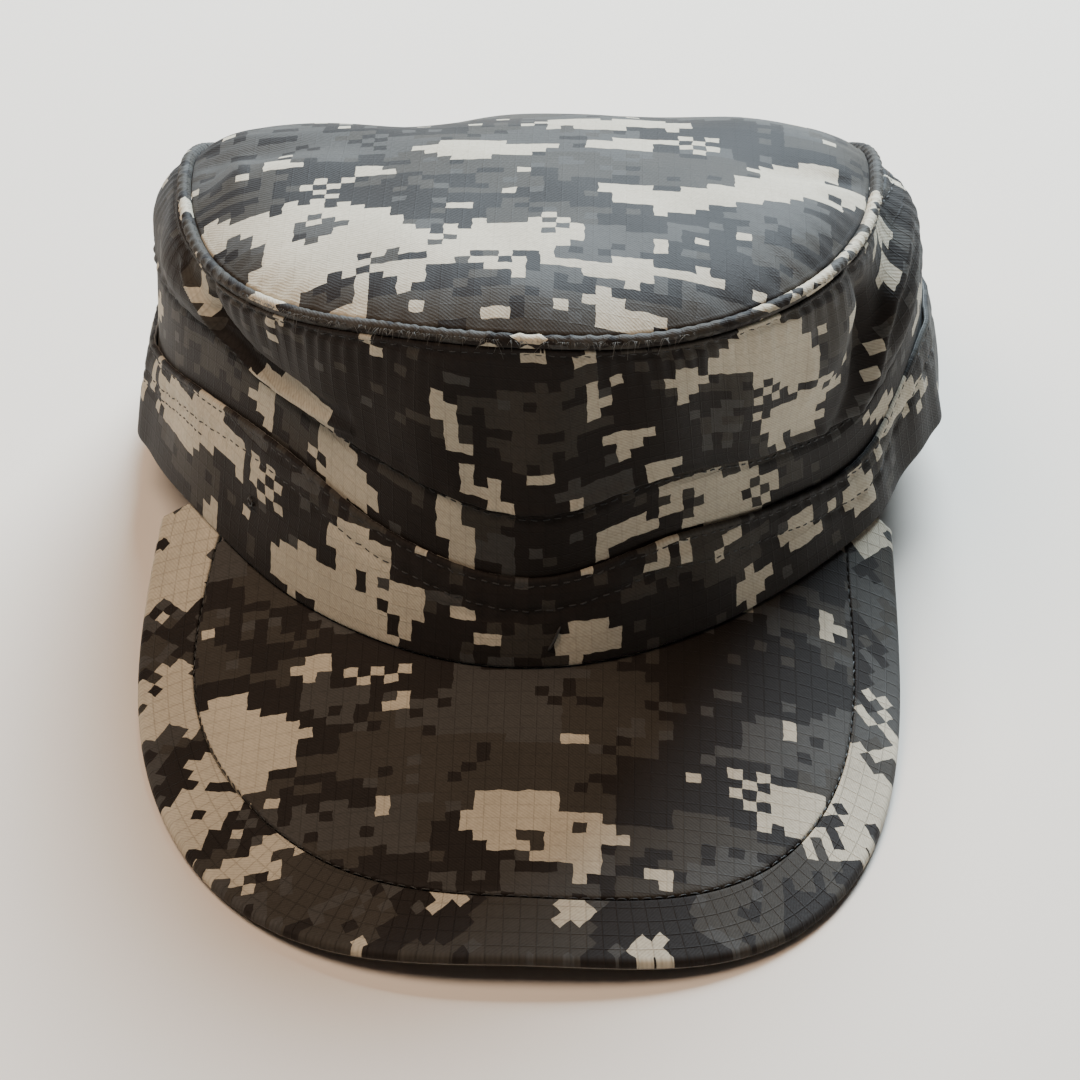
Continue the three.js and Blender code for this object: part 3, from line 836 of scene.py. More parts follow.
def camouflage_cloth(
    name, patches, lean=0.0, offset=(0.0, 0.0), ripstop=-0.12, gloom=0.0, rarer=0.0
):
    """Printed cloth: square blocks in four tones. Each block takes its tone from noises at
    its middle, and the light ones gather in the patches of a short table. The two middle
    tones get scarcer with gloom, and the light one outside its patches with rarer. The
    noises are taken at another place by offset, and the rip-stop argument lightens or
    darkens the grid as a painted shade along its grooves."""
    cloth = bpy.context.scene.cap_cloth
    material, nodes, shader = new_material(name)
    place = nodes.add("ShaderNodeUVMap", uv_map="Cloth").outputs[0]
    ribs, grid = weave(nodes, place, cloth)
    turned = nodes.add("ShaderNodeMapping", {0: place, "Rotation": (0, 0, lean)}).outputs[0]
    wobble = dict(Vector=turned, Scale=0.9 / cloth.block_width, Detail=1.0)
    wobble = nodes.add("ShaderNodeTexNoise", wobble, noise_dimensions="2D").outputs[1]
    shake = nodes.vector("SUBTRACT", wobble, (0.5, 0.5, 0.5))
    bled = nodes.vector("ADD", turned, nodes.vector("MULTIPLY", shake, (cloth.bleed, cloth.bleed, 0)))
    wide, high = cloth.block_width, cloth.block_height
    blocked = nodes.vector("SNAP", bled, (wide, high, 1.0))
    middle = nodes.vector("ADD", blocked, (wide / 2 + offset[0], high / 2 + offset[1], 0))
    still = nodes.vector("ADD", blocked, (wide / 2, high / 2, 0))
    if lean:
        still = nodes.rotated(still, -lean)
    count = nodes.vector("DIVIDE", blocked, (wide, high, 1.0))
    both = nodes.vector("DOT_PRODUCT", count, (1.0, 1.0, 0.0), output=1)
    parity = nodes.math("COSINE", nodes.math("MULTIPLY", both, math.pi))
    bias = cloth.scarcity - rarer
    for patch in patches:
        centre = (patch["u"] * MM, patch["v"] * MM, 0)
        away = nodes.vector("SUBTRACT", still, centre)
        if patch.get("lean"):
            away = nodes.rotated(away, math.radians(-patch["lean"]))
        size = (1 / (patch["long"] * MM), 1 / (patch["high"] * MM), 0)
        far = nodes.vector("LENGTH", nodes.vector("MULTIPLY", away, size), output=1)
        fall = nodes.math("SUBTRACT", 1.0, nodes.math("MULTIPLY", far, far), clamp=True)
        bias = nodes.math("MULTIPLY_ADD", fall, patch.get("weight", USUAL_WEIGHT) + WEIGHT_LIFT, bias)
        if patch.get("checks"):
            checked = nodes.math("MULTIPLY", fall, parity)
            bias = nodes.math("MULTIPLY_ADD", checked, patch["checks"], bias)
    stretched = nodes.vector("MULTIPLY", middle, (BLOTCH_STRETCH, 1.0, 0))
    cast = nodes.add("ShaderNodeTexWhiteNoise", dict(Vector=middle), noise_dimensions="2D").outputs[0]
    high_cast = nodes.math("POWER", cast, ODD_RARITY)
    low_cast = nodes.math("POWER", nodes.math("SUBTRACT", 1.0, cast), ODD_RARITY)
    odd = nodes.math("SUBTRACT", high_cast, low_cast)

    printed = colour(cloth.dark)
    # Gloom raises the thresholds of the charcoal and grey tones. On the walls, this darker print is
    # partly painted shade.
    for name, number, scale, threshold, extra in (
        ("charcoal", 2, 40.0, gloom - 0.1, None),
        ("grey", 3, 46.0, gloom + 0.25, None),
        ("light", 1, 78.0, 0.05, bias),
    ):
        step = (number * TONE_STEP[0], number * TONE_STEP[1], 0)
        moved = nodes.vector("ADD", stretched, step)
        value = nodes.noise(moved, scale, 3.0, 0.62)
        value = nodes.math("MULTIPLY_ADD", value, TONE_SPREAD, -TONE_SPREAD / 2)
        value = nodes.math("ADD", odd, value)
        if extra is not None:
            value = nodes.math("ADD", value, extra)
        share = nodes.math("GREATER_THAN", value, threshold)
        printed = nodes.blend(share, printed, colour(getattr(cloth, name)))
    slow = nodes.noise(place, 45.0, 3.0, 0.6)
    worn = nodes.math("MULTIPLY_ADD", slow, 0.36, 0.82)
    shaded = nodes.math("MULTIPLY_ADD", ribs, 0.5, 0.8)
    # The twill's ribs and the rip-stop grid lighten or darken the colour here: painted shade along the
    # ribs and along the grid's grooves, under a slow random tone.
    shaded = nodes.math("MULTIPLY", nodes.math("MULTIPLY_ADD", grid, ripstop, shaded), worn)
    height = nodes.math("MULTIPLY_ADD", grid, -6 * ripstop, ribs)
    nodes.fill(shader, {
        "Base Color": nodes.shaded(printed, shaded),
        "Normal": nodes.bump(0.55, 0.00015, height),
        "Roughness": 0.66,
        "Specular IOR Level": 0.12,
        "Sheen Weight": 0.04,
        "Sheen Roughness": 0.5,
    })
    return material


def reverse_cloth():
    """Unprinted inner side of the cloth: the same weave in one faded tone."""
    cloth = bpy.context.scene.cap_cloth
    material, nodes, shader = new_material("Cloth reverse")
    place = nodes.add("ShaderNodeUVMap", uv_map="Cloth").outputs[0]
    ribs, grid = weave(nodes, place, cloth)
    slow = nodes.noise(place, 60.0, 3.0, 0.6)
    shade = nodes.math("MULTIPLY_ADD", ribs, 0.3, nodes.math("MULTIPLY_ADD", slow, 0.3, 0.7))
    dyed = nodes.shaded(tuple(cloth.reverse), shade)
    bump = nodes.bump(0.5, 0.00035, nodes.math("MULTIPLY_ADD", grid, 0.8, ribs))
    nodes.fill(shader, {"Base Color": dyed, "Normal": bump, "Roughness": 0.85})
    return material


def shared_material(name, make):
    """The material of that name, made at its first use."""
    return bpy.data.materials.get(name) or make()


def two_sided(name, patches, **print_settings):
    """Printed cloth and its unprinted inner side."""
    printed = camouflage_cloth(name, patches, **print_settings)
    return [printed, shared_material("Cloth reverse", reverse_cloth)]


# Where the print's big light patches gather on each piece: their middles u and v, along
# and up the piece from its front, and their half lengths and half heights, in millimetres.
# A patch gathers light blocks by its weight or keeps them off where that is negative, is
# turned by its lean in degrees, and is broken up by its checks into a chequer.
PATCH_COLUMNS = "u v long high weight lean checks"
TOP_PATCHES = table(
    PATCH_COLUMNS,
    (-42, -37, 7, 7, 0.9, 0, 1.3),
    (4, -61, 8, 7, 0.6, 0, 1.3),
    (-42, -57, 7, 8, -2.2, 0, 0.9),
    (-38, -80, 7, 6, -2.4),
    (-27, -72, 9, 3, -2.4, -30),
    (-17, -67, 5, 5, -1.4, 0, 0.9),
    (-58, -62, 5, 8, -2.4),
    (34, -15, 8, 6, 0.8, 0, 1.3),
    (-30, -74, 9, 6, -0.6, 0, 1.3),
    (-40, -56, 24, 13, 1.9, -35),
    (-50, -70, 15, 13),
    (-30, -72, 17, 14, 1.9, -30),
    (-6, -70, 20, 14),
    (22, -76, 17, 4),
    (24, -45, 18, 10, 1.5, -8),
    (56, -28, 17, 15, 1.9, 40),
    (42, -42, 14, 6, 1.6, 20),
    (-10, -20, 17, 8),
    (24, -16, 17, 6, 1.4, 12),
    (14, -3, 24, 6, 1.5),
    (-32, -30, 9, 3.5),
    (-64, -46, 6, 8, 1.3),
    (-34, -85, 7, 6),
    (17, -90, 14, 4, 1.4),
    (44, -59, 2.6, 3),
    (26, -67, 3, 3),
    (-42, 24, 20, 9, 1.5, 20),
    (20, 38, 22, 8, 1.5, -10),
    (52, 12, 14, 7, 1.3),
)
WALL_PATCHES = table(
    PATCH_COLUMNS,
    (-58, 24, 7, 9, 1.6),
    (-57, 24, 3.5, 3.5, -2.6),
    (-58, 2, 16, 7),
    (-75, 14, 14, 14, -1.6),
    (-17, 23, 5, 3.2, 2.6, -20),
    (-14, 13, 4.6, 8, 2.5, 22),
    (-8, 3, 7, 2.6, 2.4, -25),
    (3, 9, 4, 2.6, 2.4, -25),
    (16, 25, 2.4, 6, 2.3),
    (23, 13, 6, 6, 2.1),
    (29, 4, 5, 4, 2.1),
    (36, 25, 6, 6, 1.8),
    (3, 38, 2.4, 2.4, 2.3),
    (14, 36, 2.4, 2.4, 2.3),
    (71, 37, 3.5, 4, -2.6),
    (60, 33, 21, 13),
    (67, 13, 18, 17),
    (58, 21, 7, 6, -1.0, 0, 1.3),
    (21, 29, 3, 2.6, 2),
    (-88, 15, 2.8, 7, 1.7, 12),
    # A thin light strip along the left fold's ridge. It is light print, and it partly paints a
    # highlight on the ridge's edge.
    (-84, 9, 8, 2, 1.8, -42),
    (-84, 30, 11, 4),
    (88, 30, 5, 9, 1.4, -20),
    (104, 10, 12, 12, -1.2),
    (112, 30, 12, 5, 1.3, -35),
    (94, 9, 2.2, 11, 1.8, -25),
    (108, 22.5, 12, 2.4, 1.7, 5),
    (146, 18, 16, 7, 1.3),
    (-118, 10, 24, 9, -1.2),
    (-150, 14, 20, 7, 1.4),
    (185, 6, 26, 7, 1.4),
    (-190, 8, 24, 6, 1.3),
    (236, 5, 20, 6, 1.3),
)
MIDDLE_PATCHES = table(
    PATCH_COLUMNS,
    (-66, 10, 4.5, 9, 1.7),
    (-42, 12, 13, 13),
    (-50, 9, 5, 6, -0.6, 0, 1.3),
    (-17, 12, 8, 12, 1.8),
    (-18, 8, 3, 3, -2.6),
    (19, 9, 9, 7, 1.7),
    (44, 11, 21, 12),
    (36, 11.5, 3.4, 4, -3),
    (55, 9, 5, 6, -0.6, 0, 1.4),
    (-90, 12, 16, 12, -1.2),
    (-128, 13, 20, 4.5, 1.4, 28),
    (82, 12, 12, 12, -1),
    (104, 7, 7, 6, 1.3),
    (128, 10, 16, 6, 1.4),
    (-160, 10, 30, 6, 1.4),
    (190, 9, 24, 7, 1.4),
    (-225, 9, 18, 6, 1.4),
)
LOWER_PATCHES = table(
    PATCH_COLUMNS,
    (-102, 20, 38, 10, 1.9, 8),
    (-66, 23, 7, 9, 1.1, 0, 0.9),
    (-58, 23, 3, 12, -1.4),
    (-38, 22, 12, 9, 2.1),
    (-68, 6, 4, 7, -0.8),
    (-45, 6, 30, 12, 2.2),
    (-72, 11, 4, 3.5, 1.5),
    (-86, 4, 6, 7, 1.4),
    (-8, 6, 5, 3),
    (11, 5, 11, 6),
    (12, 23, 7, 4, 1.6),
    (31, 20, 7, 7),
    (33, 20, 2.6, 2.6, -2.4),
    (47, 18, 9, 4.5, 1.6),
    (53, 5, 9, 6),
    (70, 11, 12, 6, 1.4),
    (90, 9, 8, 6, 1.5),
    (116, 15, 16, 8, 1.4),
    (-150, 12, 18, 8, 1.4),
    (-210, 10, 26, 8, 1.5),
    (190, 12, 26, 8, 1.5),
    (245, 8, 16, 6, 1.4),
)
PANEL_PATCHES = table(
    PATCH_COLUMNS,
    (-57, -118, 22, 17, 2.4),
    (-44, -98, 5, 6),
    (-30, -101, 12, 8, 0.9, 0, 0.7),
    (46, -130, 7, 8, 0.6, 0, 1.3),
    (-25, -112, 6, 4),
    (-49, -134, 4, 4),
    (-28, -138, 8, 4, 1.5),
    (11, -120, 4, 2.4),
    (-1, -143, 13, 13, 1.9),
    (12, -149, 12, 12, 1.8),
    (4, -146, 3, 4, -2.4),
    (9, -155, 3, 3, -2.4),
    (54, -132, 12, 11),
    (64, -80, 7, 6),
    (36, -120, 2.6, 2.6),
    (29, -154, 5, 4),
    (-66, -84, 4, 2.4),
)
BORDER_PATCHES = table(
    PATCH_COLUMNS,
    (-172, -8, 26, 18, 1.3),
    (-126, -9, 17, 18, 1.4),
    (-84, -9, 30, 20, 1.3),
    (-15, -14, 7, 4),
    (11, -12, 5, 5),
    (27, -2, 6, 4),
    (103, -9, 34, 20, 1.4),
    (190, -8, 30, 18, 1.5),
)
WELT_PATCHES = table(
    PATCH_COLUMNS,
    (-58, 2, 6, 8),
    (2, 2, 3, 9, 1.3),
    (12, 2, 7, 12, -1.6),
    (72, 2, 42, 11, 1.2),
    (58, 4, 4, 8, -1.6),
    (88, 3, 4, 8, -1.6),
    (-110, 3, 10, 8, 1.3),
    (112, 3, 14, 8, 1.4),
)


def tint_property(name, description, default):
    """A colour that the panel's user can change."""
    return FloatVectorProperty(
        name=name, description=description, default=default, subtype="COLOR", size=3, min=0, max=1
    )


def length_property(name, description, default, least=0.0):
    """A length in metres that the panel's user can change."""
    return FloatProperty(
        name=name, description=description, default=default, unit="LENGTH", min=least
    )


class CapCloth(bpy.types.PropertyGroup):
    """Colours and weave of the printed cloth."""

    dark: tint_property("Dark", "Darkest tone of the print", (0.015, 0.0115, 0.0098))
    charcoal: tint_property("Charcoal", "Second tone of the print", (0.039, 0.0335, 0.0275))
    grey: tint_property("Grey", "Third tone of the print", (0.050, 0.0465, 0.0425))
    light: tint_property("Light", "Lightest tone of the print", (0.42, 0.37, 0.285))
    reverse: tint_property("Reverse", "Inner side of the cloth", (0.16, 0.15, 0.14))
    block_width: length_property("Block width", "Width of one block of the print", 0.0028, 0.001)
    block_height: length_property("Block height", "Height of one block of the print", 0.0025, 0.001)
    scarcity: FloatProperty(
        name="Scarcity", description="How rare the light tone is outside its patches", default=-0.95
    )
    bleed: length_property("Bleed", "How far the print's edges wander", 0.0009)
    twill_pitch: length_property(
        "Twill pitch", "Distance from one twill line to the next", 0.0006, 0.0002
    )
    ripstop_pitch: length_property(
        "Rip-stop pitch", "Distance between the thicker threads", 0.0033, 0.001
    )
    ripstop_width: length_property("Rip-stop width", "Width of a thicker thread", 0.00045, 0.0001)


class CapSewing(bpy.types.PropertyGroup):
    """Thread and stitches."""

    thread: tint_property("Thread", "Colour of the sewing thread", (0.02, 0.019, 0.018))
    stitch: length_property("Stitch", "Length of one stitch with the gap after it", 0.0024, 0.001)
    thick: length_property("Thread thickness", "Thickness of the sewing thread", 0.00034, 0.0001)


class CapStage(bpy.types.PropertyGroup):
    """Table and light."""

    floor: tint_property("Table", "Colour of the table", (0.70, 0.62, 0.54))
    window_power: FloatProperty(
        name="Window light", description="Power of the cool light from above and behind",
        default=105.0, unit="POWER", min=0,
    )
    lamp_power: FloatProperty(
        name="Lamp light", description="Power of the warm light from the front",
        default=14.0, unit="POWER", min=0,
    )
    sky: FloatProperty(
        name="Room light", description="Strength of the even light of the room", default=0.05, min=0
    )


# Grid of the crown's top: rows from its middle to its rim, crowded towards the rim by a
# power, places round it and round its edge, and its usual reach in millimetres.
TOP_GRID = dict(rows=64, crowding=1.5, places=480, edge=3, reach=70)


class CAP_OT_crown_top(bpy.types.Operator):
    """Puffed oval top of the crown"""

    bl_idname = "cap.crown_top"
    bl_label = "Crown top"

    def execute(self, context):
        rows, cap = TOP_GRID["rows"], TOP_GRID["edge"]
        turn = turns_round(TOP_GRID["places"])
        reach = 1 - (1 - np.linspace(0, 1, rows + 1)) ** TOP_GRID["crowding"]
        reaches = np.concatenate([reach, np.ones(cap), reach[::-1]])
        angle = np.linspace(-np.pi / 2, np.pi / 2, cap + 2)[1:-1]
        flat = np.zeros(rows + 1)
        drops = np.concatenate([flat + 1, (1 - np.sin(angle)) / 2, flat])
        pasts = np.concatenate([flat, np.cos(angle), flat])
        radius = TOP_THICK / 2
        trimmed = reaches[None] * (1 - radius / TOP_GRID["reach"])
        grid = crown_top_face(turn + 0 * trimmed, trimmed)
        grid = grid + outward("top", turn) * radius * pasts[:, None]
        grid[..., 2] -= TOP_THICK * drops
        inner = np.broadcast_to(drops > 0.5, grid.shape[:2])
        # On the crown's top the rip-stop grid gets only a faint painted shade.
        cloth = two_sided("Crown top cloth", TOP_PATCHES, ripstop=-0.05, gloom=0.1)
        cloth_object("crown_top_cloth", grid, grid[..., :2], inner, cloth, "crown_top")
        return {"FINISHED"}


class CAP_OT_crown_wall(bpy.types.Operator):
    """Wall of the crown, slumped over the bands"""

    bl_idname = "cap.crown_wall"
    bl_label = "Crown wall"

    def execute(self, context):
        cloth = two_sided("Crown wall cloth", WALL_PATCHES, **WALL_PRINT_AND_SHADE)
        wall_piece("crown_wall", crown_wall_face, "seam", 40, WALL_THICK, cloth)
        return {"FINISHED"}


class CAP_OT_bands(bpy.types.Operator):
    """Middle and lower band"""

    bl_idname = "cap.bands"
    bl_label = "Bands"

    def execute(self, context):
        middle = two_sided("Middle band cloth", MIDDLE_PATCHES, offset=(0.31, 0.11), **WALL_PRINT_AND_SHADE)
        wall_piece("middle_band", middle_band_face, "seam", 30, WALL_THICK, middle)
        lower = two_sided("Lower band cloth", LOWER_PATCHES, offset=(0.73, 0.41), **WALL_PRINT_AND_SHADE)
        wall_piece("lower_band", lower_band_face, "hem", 30, BAND_THICK, lower)
        return {"FINISHED"}


# Grid of the welt, its rolled radius as a share of the full one, and how strongly its
# gathers and its slack change that.
WELT_GRID = dict(places=1400, sides=16)
WELT_ROLL = dict(share=0.84, gathers=0.09, slack=0.03)


class CAP_OT_crown_welt(bpy.types.Operator):
    """Rolled welt along the crown's top edge"""

    bl_idname = "cap.crown_welt"
    bl_label = "Crown welt"

    def execute(self, context):
        turn = turns_round(WELT_GRID["places"])
        angle = np.linspace(0, 2 * np.pi, WELT_GRID["sides"] + 1)[None]
        arc = arc_round("top", turn)
        gathers = puckers(arc, 0, pitch=3.3, reach=1.0, seed=8.0)
        gathers = gathers + puckers(arc, 0, pitch=1.9, reach=1.0, seed=9.0, depth=0.6)
        slack = waver(turn, 0 * turn, seed=31)
        rolled = WELT_ROLL["share"] + WELT_ROLL["gathers"] * gathers + WELT_ROLL["slack"] * slack
        away = angle - math.radians(WELT_BURIED["middle"])
        buried = np.clip(WELT_BURIED["steep"] * np.cos(away) - WELT_BURIED["narrow"], 0, 1)
        radius = WELT_RADIUS * (rolled + (WELT_FILL - rolled) * buried)
        out = outward("top", turn)
        grid = welt_line(turn) + out * (radius * np.cos(angle))[..., None]
        grid[..., 2] += radius * np.sin(angle)
        uv = np.stack([arc + 0 * angle, angle * WELT_RADIUS + 0 * arc], -1)
        cloth = camouflage_cloth("Welt cloth", WELT_PATCHES, lean=ACROSS_WEAVE, offset=(0.17, 0.87))
        inner = np.zeros(grid.shape[:2])
        cloth_object("crown_welt_cloth", grid, uv, inner, [cloth], "crown_welt")
        return {"FINISHED"}


def ruling_of(across):
    """Lines straight out from the hem to the peak's edge, seen from above: their directions
    and their lengths on the peak."""
    root, edge = ends_of(peak_face, across)
    line = edge - root
    length = np.linalg.norm(line, axis=-1)
    line[..., 2] = 0
    return unit(line), length


def peak_slab(across, rows, inner_line, outer_line, inner_round, outer_round):
    """A slab of the peak between two lines, given as shares of the way out. Its section
    has round edges of the two given reaches, and its two ends close to a line."""
    rises, outs, pasts = wall_section(rows)
    way, length = ruling_of(across)
    start, stop = inner_line(across), outer_line(across)
    near = np.minimum(inner_round / length, (stop - start) / 2)
    far = np.minimum(outer_round / length, (stop - start) / 2)
    share = start + near + (stop - start - near - far) * rises[None]
    reach = np.where(pasts[None] > 0, far, near) * length
    grid = peak_face(across + 0 * share, share) + way * (reach * pasts[None])[..., None]
    closing = np.ones(across.shape)
    closing[[0, -1]] = 0
    grid[..., 2] -= PEAK_THICK / 2 * (1 - outs[None] * closing)
    grid[..., 2] = np.maximum(grid[..., 2], 0)
    return grid, share, np.broadcast_to(outs < 0, share.shape)


def edge_places(across, share):
    """Places on the border's strip of cloth: how far along the peak's edge and how far in
    from it, measured square to the edge."""
    way, length = ruling_of(across)
    edge = peak_edge(across)[:, 0]
    step = np.gradient(edge, axis=0)
    arc = np.concatenate([[0], np.cumsum(np.linalg.norm(np.diff(edge, axis=0), axis=1))])
    tangent = unit(step)[:, None]
    inward = (1 - share) * length
    lean = np.sum(tangent * way, -1)
    along = (arc - arc[-1] / 2)[:, None] - inward * lean
    return np.stack([-along, -inward * np.sqrt(1 - lean**2)], -1)


def seam_side(across):
    """The border's side of its seam with the panel, as a share of the way out."""
    seam = border_seam(across)
    return np.where(seam > 0, seam + SEAM_GAP / ruling_of(across)[1], 0)


# Grids of the peak's panel and border: rows from the hem to the edge, and places across.
PANEL_GRID = dict(rows=60, places=360)
BORDER_GRID = dict(rows=28, places=520)


class CAP_OT_peak(bpy.types.Operator):
    """Peak: its panel and the border round it"""

    bl_idname = "cap.peak"
    bl_label = "Peak"

    def execute(self, context):
        round_edge = PEAK_THICK / 2
        # On the peak the rip-stop grid gets a stronger painted shade than on the crown's top, and on
        # the border a stronger one still.
        panel_print = dict(offset=(0.47, 0.23), ripstop=-0.14, gloom=0.1, rarer=0.35)
        panel = two_sided("Peak panel cloth", PANEL_PATCHES, **panel_print)
        across = PANEL_END * np.linspace(1, -1, PANEL_GRID["places"] + 1)[:, None]
        grid, _, inner = peak_slab(
            across, PANEL_GRID["rows"], np.zeros_like, border_seam, round_edge, SEAM_ROUND
        )
        places = grid[..., :2]
        cloth_object("peak_panel_cloth", grid, places, inner, panel, "peak_panel")
        border_print = dict(lean=ACROSS_WEAVE, offset=(0.91, 0.67), ripstop=-0.22)
        border = two_sided("Peak border cloth", BORDER_PATCHES, **border_print)
        across = BORDER_END * np.linspace(1, -1, BORDER_GRID["places"] + 1)[:, None]
        grid, share, inner = peak_slab(
            across, BORDER_GRID["rows"], seam_side, np.ones_like, SEAM_ROUND, round_edge
        )
        places = edge_places(across, share)
        cloth_object("peak_border_cloth", grid, places, inner, border, "peak_border")
        return {"FINISHED"}


# Where the welt is frayed, by how many hairs and how high on its roll.
FRAY_TURNS = (-46, 26)
FRAY_HAIRS = 420
FRAY_REACH = 0.75
FRAY_RISE = 0.5
# Which share of the peak's seam is sewn, by how many steps its path is worked out, and how
# deep its stitches lie.
PEAK_SEWN = 0.98
PEAK_STEPS = 1600
STITCH_SINK = 0.25


class CAP_OT_stitching(bpy.types.Operator):
    """Rows of stitches under the welt, along the bands and along the peak's seam"""

    bl_idname = "cap.stitching"
    bl_label = "Stitching"

    def execute(self, context):
        sewing = context.scene.cap_sewing
        pitch, thick = sewing.stitch / MM, sewing.thick / MM
        thread = shared_material("Thread", thread_material)
        welt = [wall_row(crown_wall_face, WELT_ROW, pitch, thick, 41)]
        stitching("welt_stitching", welt, thread)
        turn = np.linspace(*FRAY_TURNS, 400)[:, None]
        out = outward("top", turn)[:, 0]
        rising = out + np.array([0, 0, FRAY_RISE])
        crest = welt_line(turn)[:, 0] + FRAY_REACH * WELT_RADIUS * rising
        hairs = shared_material("Fray", fray_material)
        stitching("welt_fray", [fray(crest, out, FRAY_HAIRS, 51)], hairs)
        bands = [
            wall_row(middle_band_face, SEAM_ROW, pitch, thick, 42),
            wall_row(lower_band_face, FOLD_ROW, pitch, thick, 43),
            wall_row(lower_band_face, BAND_ROW, pitch, thick, 44),
            wall_row(lower_band_face, SECOND_ROW, pitch, thick, 46, *SECOND_ROW_TURNS),
        ]
        stitching("band_stitching", bands, thread)
        across = PEAK_SEWN * BORDER_SEAM["ends"] * np.linspace(-1, 1, PEAK_STEPS + 1)[:, None]
        path = peak_face(across, border_seam(across))[:, 0] - np.array([0, 0, STITCH_SINK])
        normal = np.broadcast_to([0.0, 0.0, 1.0], path.shape)
        stitching("peak_stitching", [stitch_row(path, normal, pitch, thick, 45)], thread)
        return {"FINISHED"}


# Loose bits of thread on the lower band: places (turn, rise) that each runs through, and
# how far it stands off the cloth there.
LOOSE_THREADS = {
    "loose_thread": ((2.6, 0.2, 0.1), (3.4, 0.3, 0.45), (4.3, 0.47, 0.3)),
    "thread_knot": (
        (-46.5, 0.46, 0.3), (-46, 0.5, 0.5), (-45.2, 0.47, 0.5), (-45.8, 0.43, 0.5), (-46.6, 0.44, 0.2)
    ),
}


class CAP_OT_loose_threads(bpy.types.Operator):
    """A loose end of thread on the front of the band, and a small knot on its right"""

    bl_idname = "cap.loose_threads"
    bl_label = "Loose threads"

    def execute(self, context):
        thread = shared_material("Thread", thread_material)
        for name, line in LOOSE_THREADS.items():
            turn, rise, lift = np.array(line).T[..., None]
            point, normal = surface_frame(lower_band_face, turn, rise)
            tube = thread_tube(point[:, 0] + normal[:, 0] * lift)
            uv = np.zeros((*tube.shape[:2], 2))
            cloth_object(name, tube, uv, np.zeros(tube.shape[:2]), [thread])
        return {"FINISHED"}


# Lights: round areas that face a place just over the table, in metres.
LIGHTS = table(
    "name place size tint",
    ("window", (0.3, 1.14, 1.0), 0.9, (0.72, 0.88, 1.0)),
    ("lamp", (-0.42, -0.14, 1.12), 0.7, (1.0, 0.78, 0.6)),
)
LIT_PLACE = (0, 0, 0.05)
ROOM_TINT = (0.93, 0.95, 1.0, 1.0)
TABLE_HALF = 6.0


class CAP_OT_stage(bpy.types.Operator):
    """Table, lights and the even light of the room"""

    bl_idname = "cap.stage"
    bl_label = "Table and light"

    def execute(self, context):
        stage = context.scene.cap_stage
        floor = bpy.data.objects.new("table", bpy.data.meshes.new("table"))
        half = TABLE_HALF
        corners = [(-half, -half, 0), (half, -half, 0), (half, half, 0), (-half, half, 0)]
        floor.data.from_pydata(corners, [], [(0, 1, 2, 3)])
        material, nodes, shader = new_material("Table")
        nodes.fill(shader, {"Base Color": colour(stage.floor), "Roughness": 0.9})
        floor.data.materials.append(material)
        context.scene.collection.objects.link(floor)
        world = bpy.data.worlds.new("Room")
        world.use_nodes = True
        background = world.node_tree.nodes["Background"]
        background.inputs[0].default_value = ROOM_TINT
        background.inputs[1].default_value = stage.sky
        context.scene.world = world
        for row in LIGHTS:
            data = bpy.data.lights.new(row["name"], "AREA")
            data.shape = "DISK"
            data.size = row["size"]
            data.energy = getattr(stage, row["name"] + "_power")
            data.color = row["tint"]
            light = bpy.data.objects.new(row["name"], data)
            light.location = row["place"]
            aim = Vector(LIT_PLACE) - Vector(row["place"])
            light.rotation_euler = aim.to_track_quat("-Z", "Y").to_euler()
            context.scene.collection.objects.link(light)
        return {"FINISHED"}


# The photograph's view: how high and from how far aside it looks, its distance from the
# place it looks at, and its focal length in pixels of a picture 1080 wide.
PICTURE_SIDE = 1080
VIEW = dict(elevation=37.0, azimuth=1.0, roll=-0.38, distance=900.0, focal=4058.0)
VIEW_TARGET = (2.27, -28.3, -4.3)


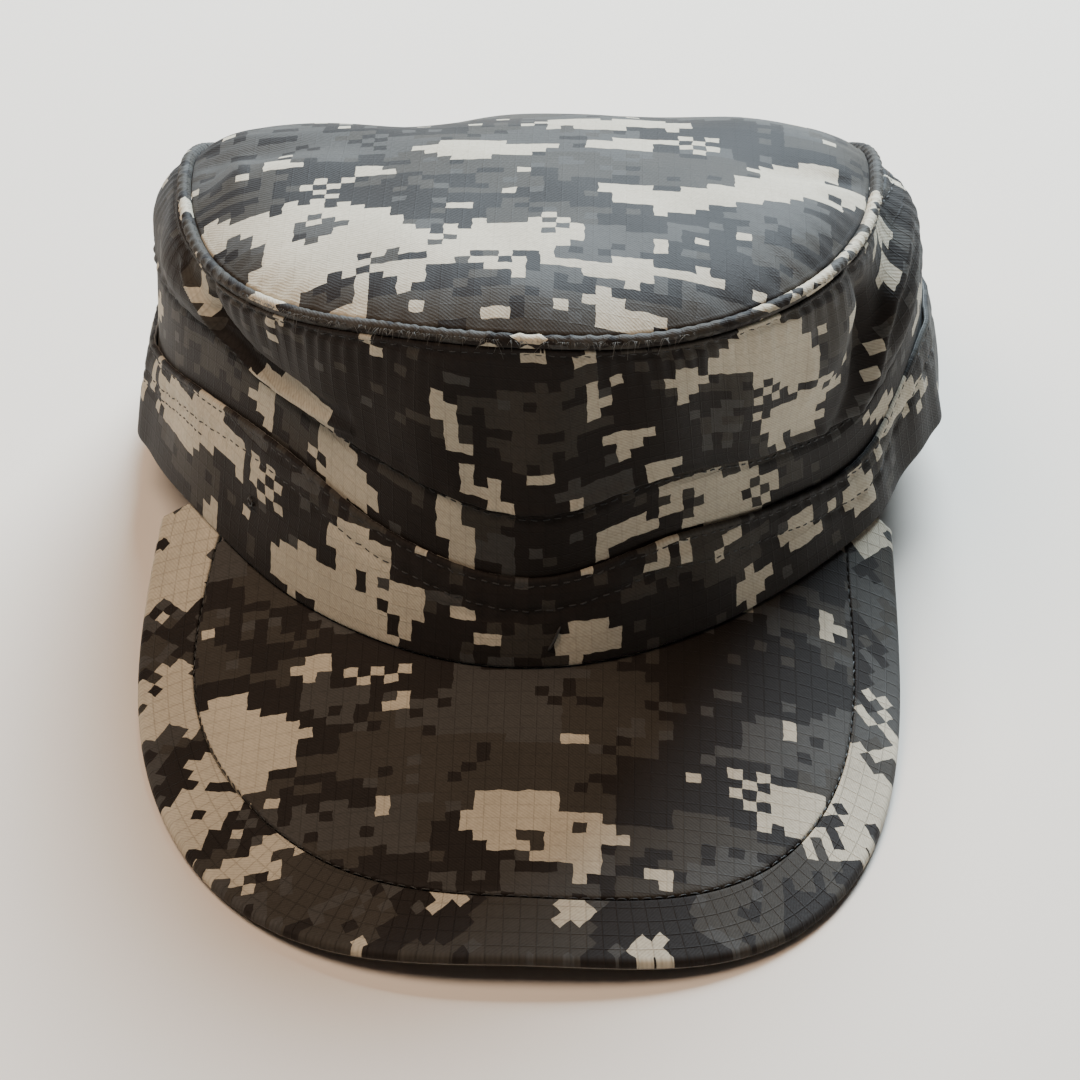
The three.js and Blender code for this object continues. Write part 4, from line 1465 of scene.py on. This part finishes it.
class CAP_OT_camera(bpy.types.Operator):
    """Camera at the photograph's angle"""

    bl_idname = "cap.camera"
    bl_label = "Camera"

    def execute(self, context):
        elevation, azimuth, roll = (math.radians(VIEW[k]) for k in ("elevation", "azimuth", "roll"))
        turned = (
            Matrix.Rotation(azimuth, 4, "Z")
            @ Matrix.Rotation(math.pi / 2 - elevation, 4, "X")
            @ Matrix.Rotation(-roll, 4, "Z")
        )
        data = bpy.data.cameras.new("camera")
        data.sensor_width = 36.0
        data.lens = VIEW["focal"] / PICTURE_SIDE * data.sensor_width
        camera = bpy.data.objects.new("camera", data)
        target = Matrix.Translation(np.array(VIEW_TARGET) * MM + cap_shift())
        away = Matrix.Translation((0, 0, VIEW["distance"] * MM))
        camera.matrix_world = target @ turned @ away
        context.scene.collection.objects.link(camera)
        context.scene.camera = camera
        return {"FINISHED"}


class CAP_PT_panel(bpy.types.Panel):
    """The cap's pieces, in the order in which they are made"""

    bl_idname = "CAP_PT_panel"
    bl_label = "Soft field cap"
    bl_space_type = "VIEW_3D"
    bl_region_type = "UI"
    bl_category = "Cap"

    def draw(self, context):
        for operator in OPERATORS:
            self.layout.operator(operator.bl_idname)


OPERATORS = (
    CAP_OT_camera,
    CAP_OT_crown_top,
    CAP_OT_crown_wall,
    CAP_OT_bands,
    CAP_OT_crown_welt,
    CAP_OT_peak,
    CAP_OT_stitching,
    CAP_OT_loose_threads,
    CAP_OT_stage,
)
CLASSES = (CapCloth, CapSewing, CapStage, *OPERATORS, CAP_PT_panel)


def register():
    for cls in CLASSES:
        bpy.utils.register_class(cls)
    bpy.types.Scene.cap_cloth = PointerProperty(type=CapCloth)
    bpy.types.Scene.cap_sewing = PointerProperty(type=CapSewing)
    bpy.types.Scene.cap_stage = PointerProperty(type=CapStage)


def unregister():
    del bpy.types.Scene.cap_stage
    del bpy.types.Scene.cap_sewing
    del bpy.types.Scene.cap_cloth
    for cls in reversed(CLASSES):
        bpy.utils.unregister_class(cls)


def main():
    register()
    for operator in OPERATORS:
        group, name = operator.bl_idname.split(".")
        getattr(getattr(bpy.ops, group), name)()


if __name__ == "__main__":
    main()
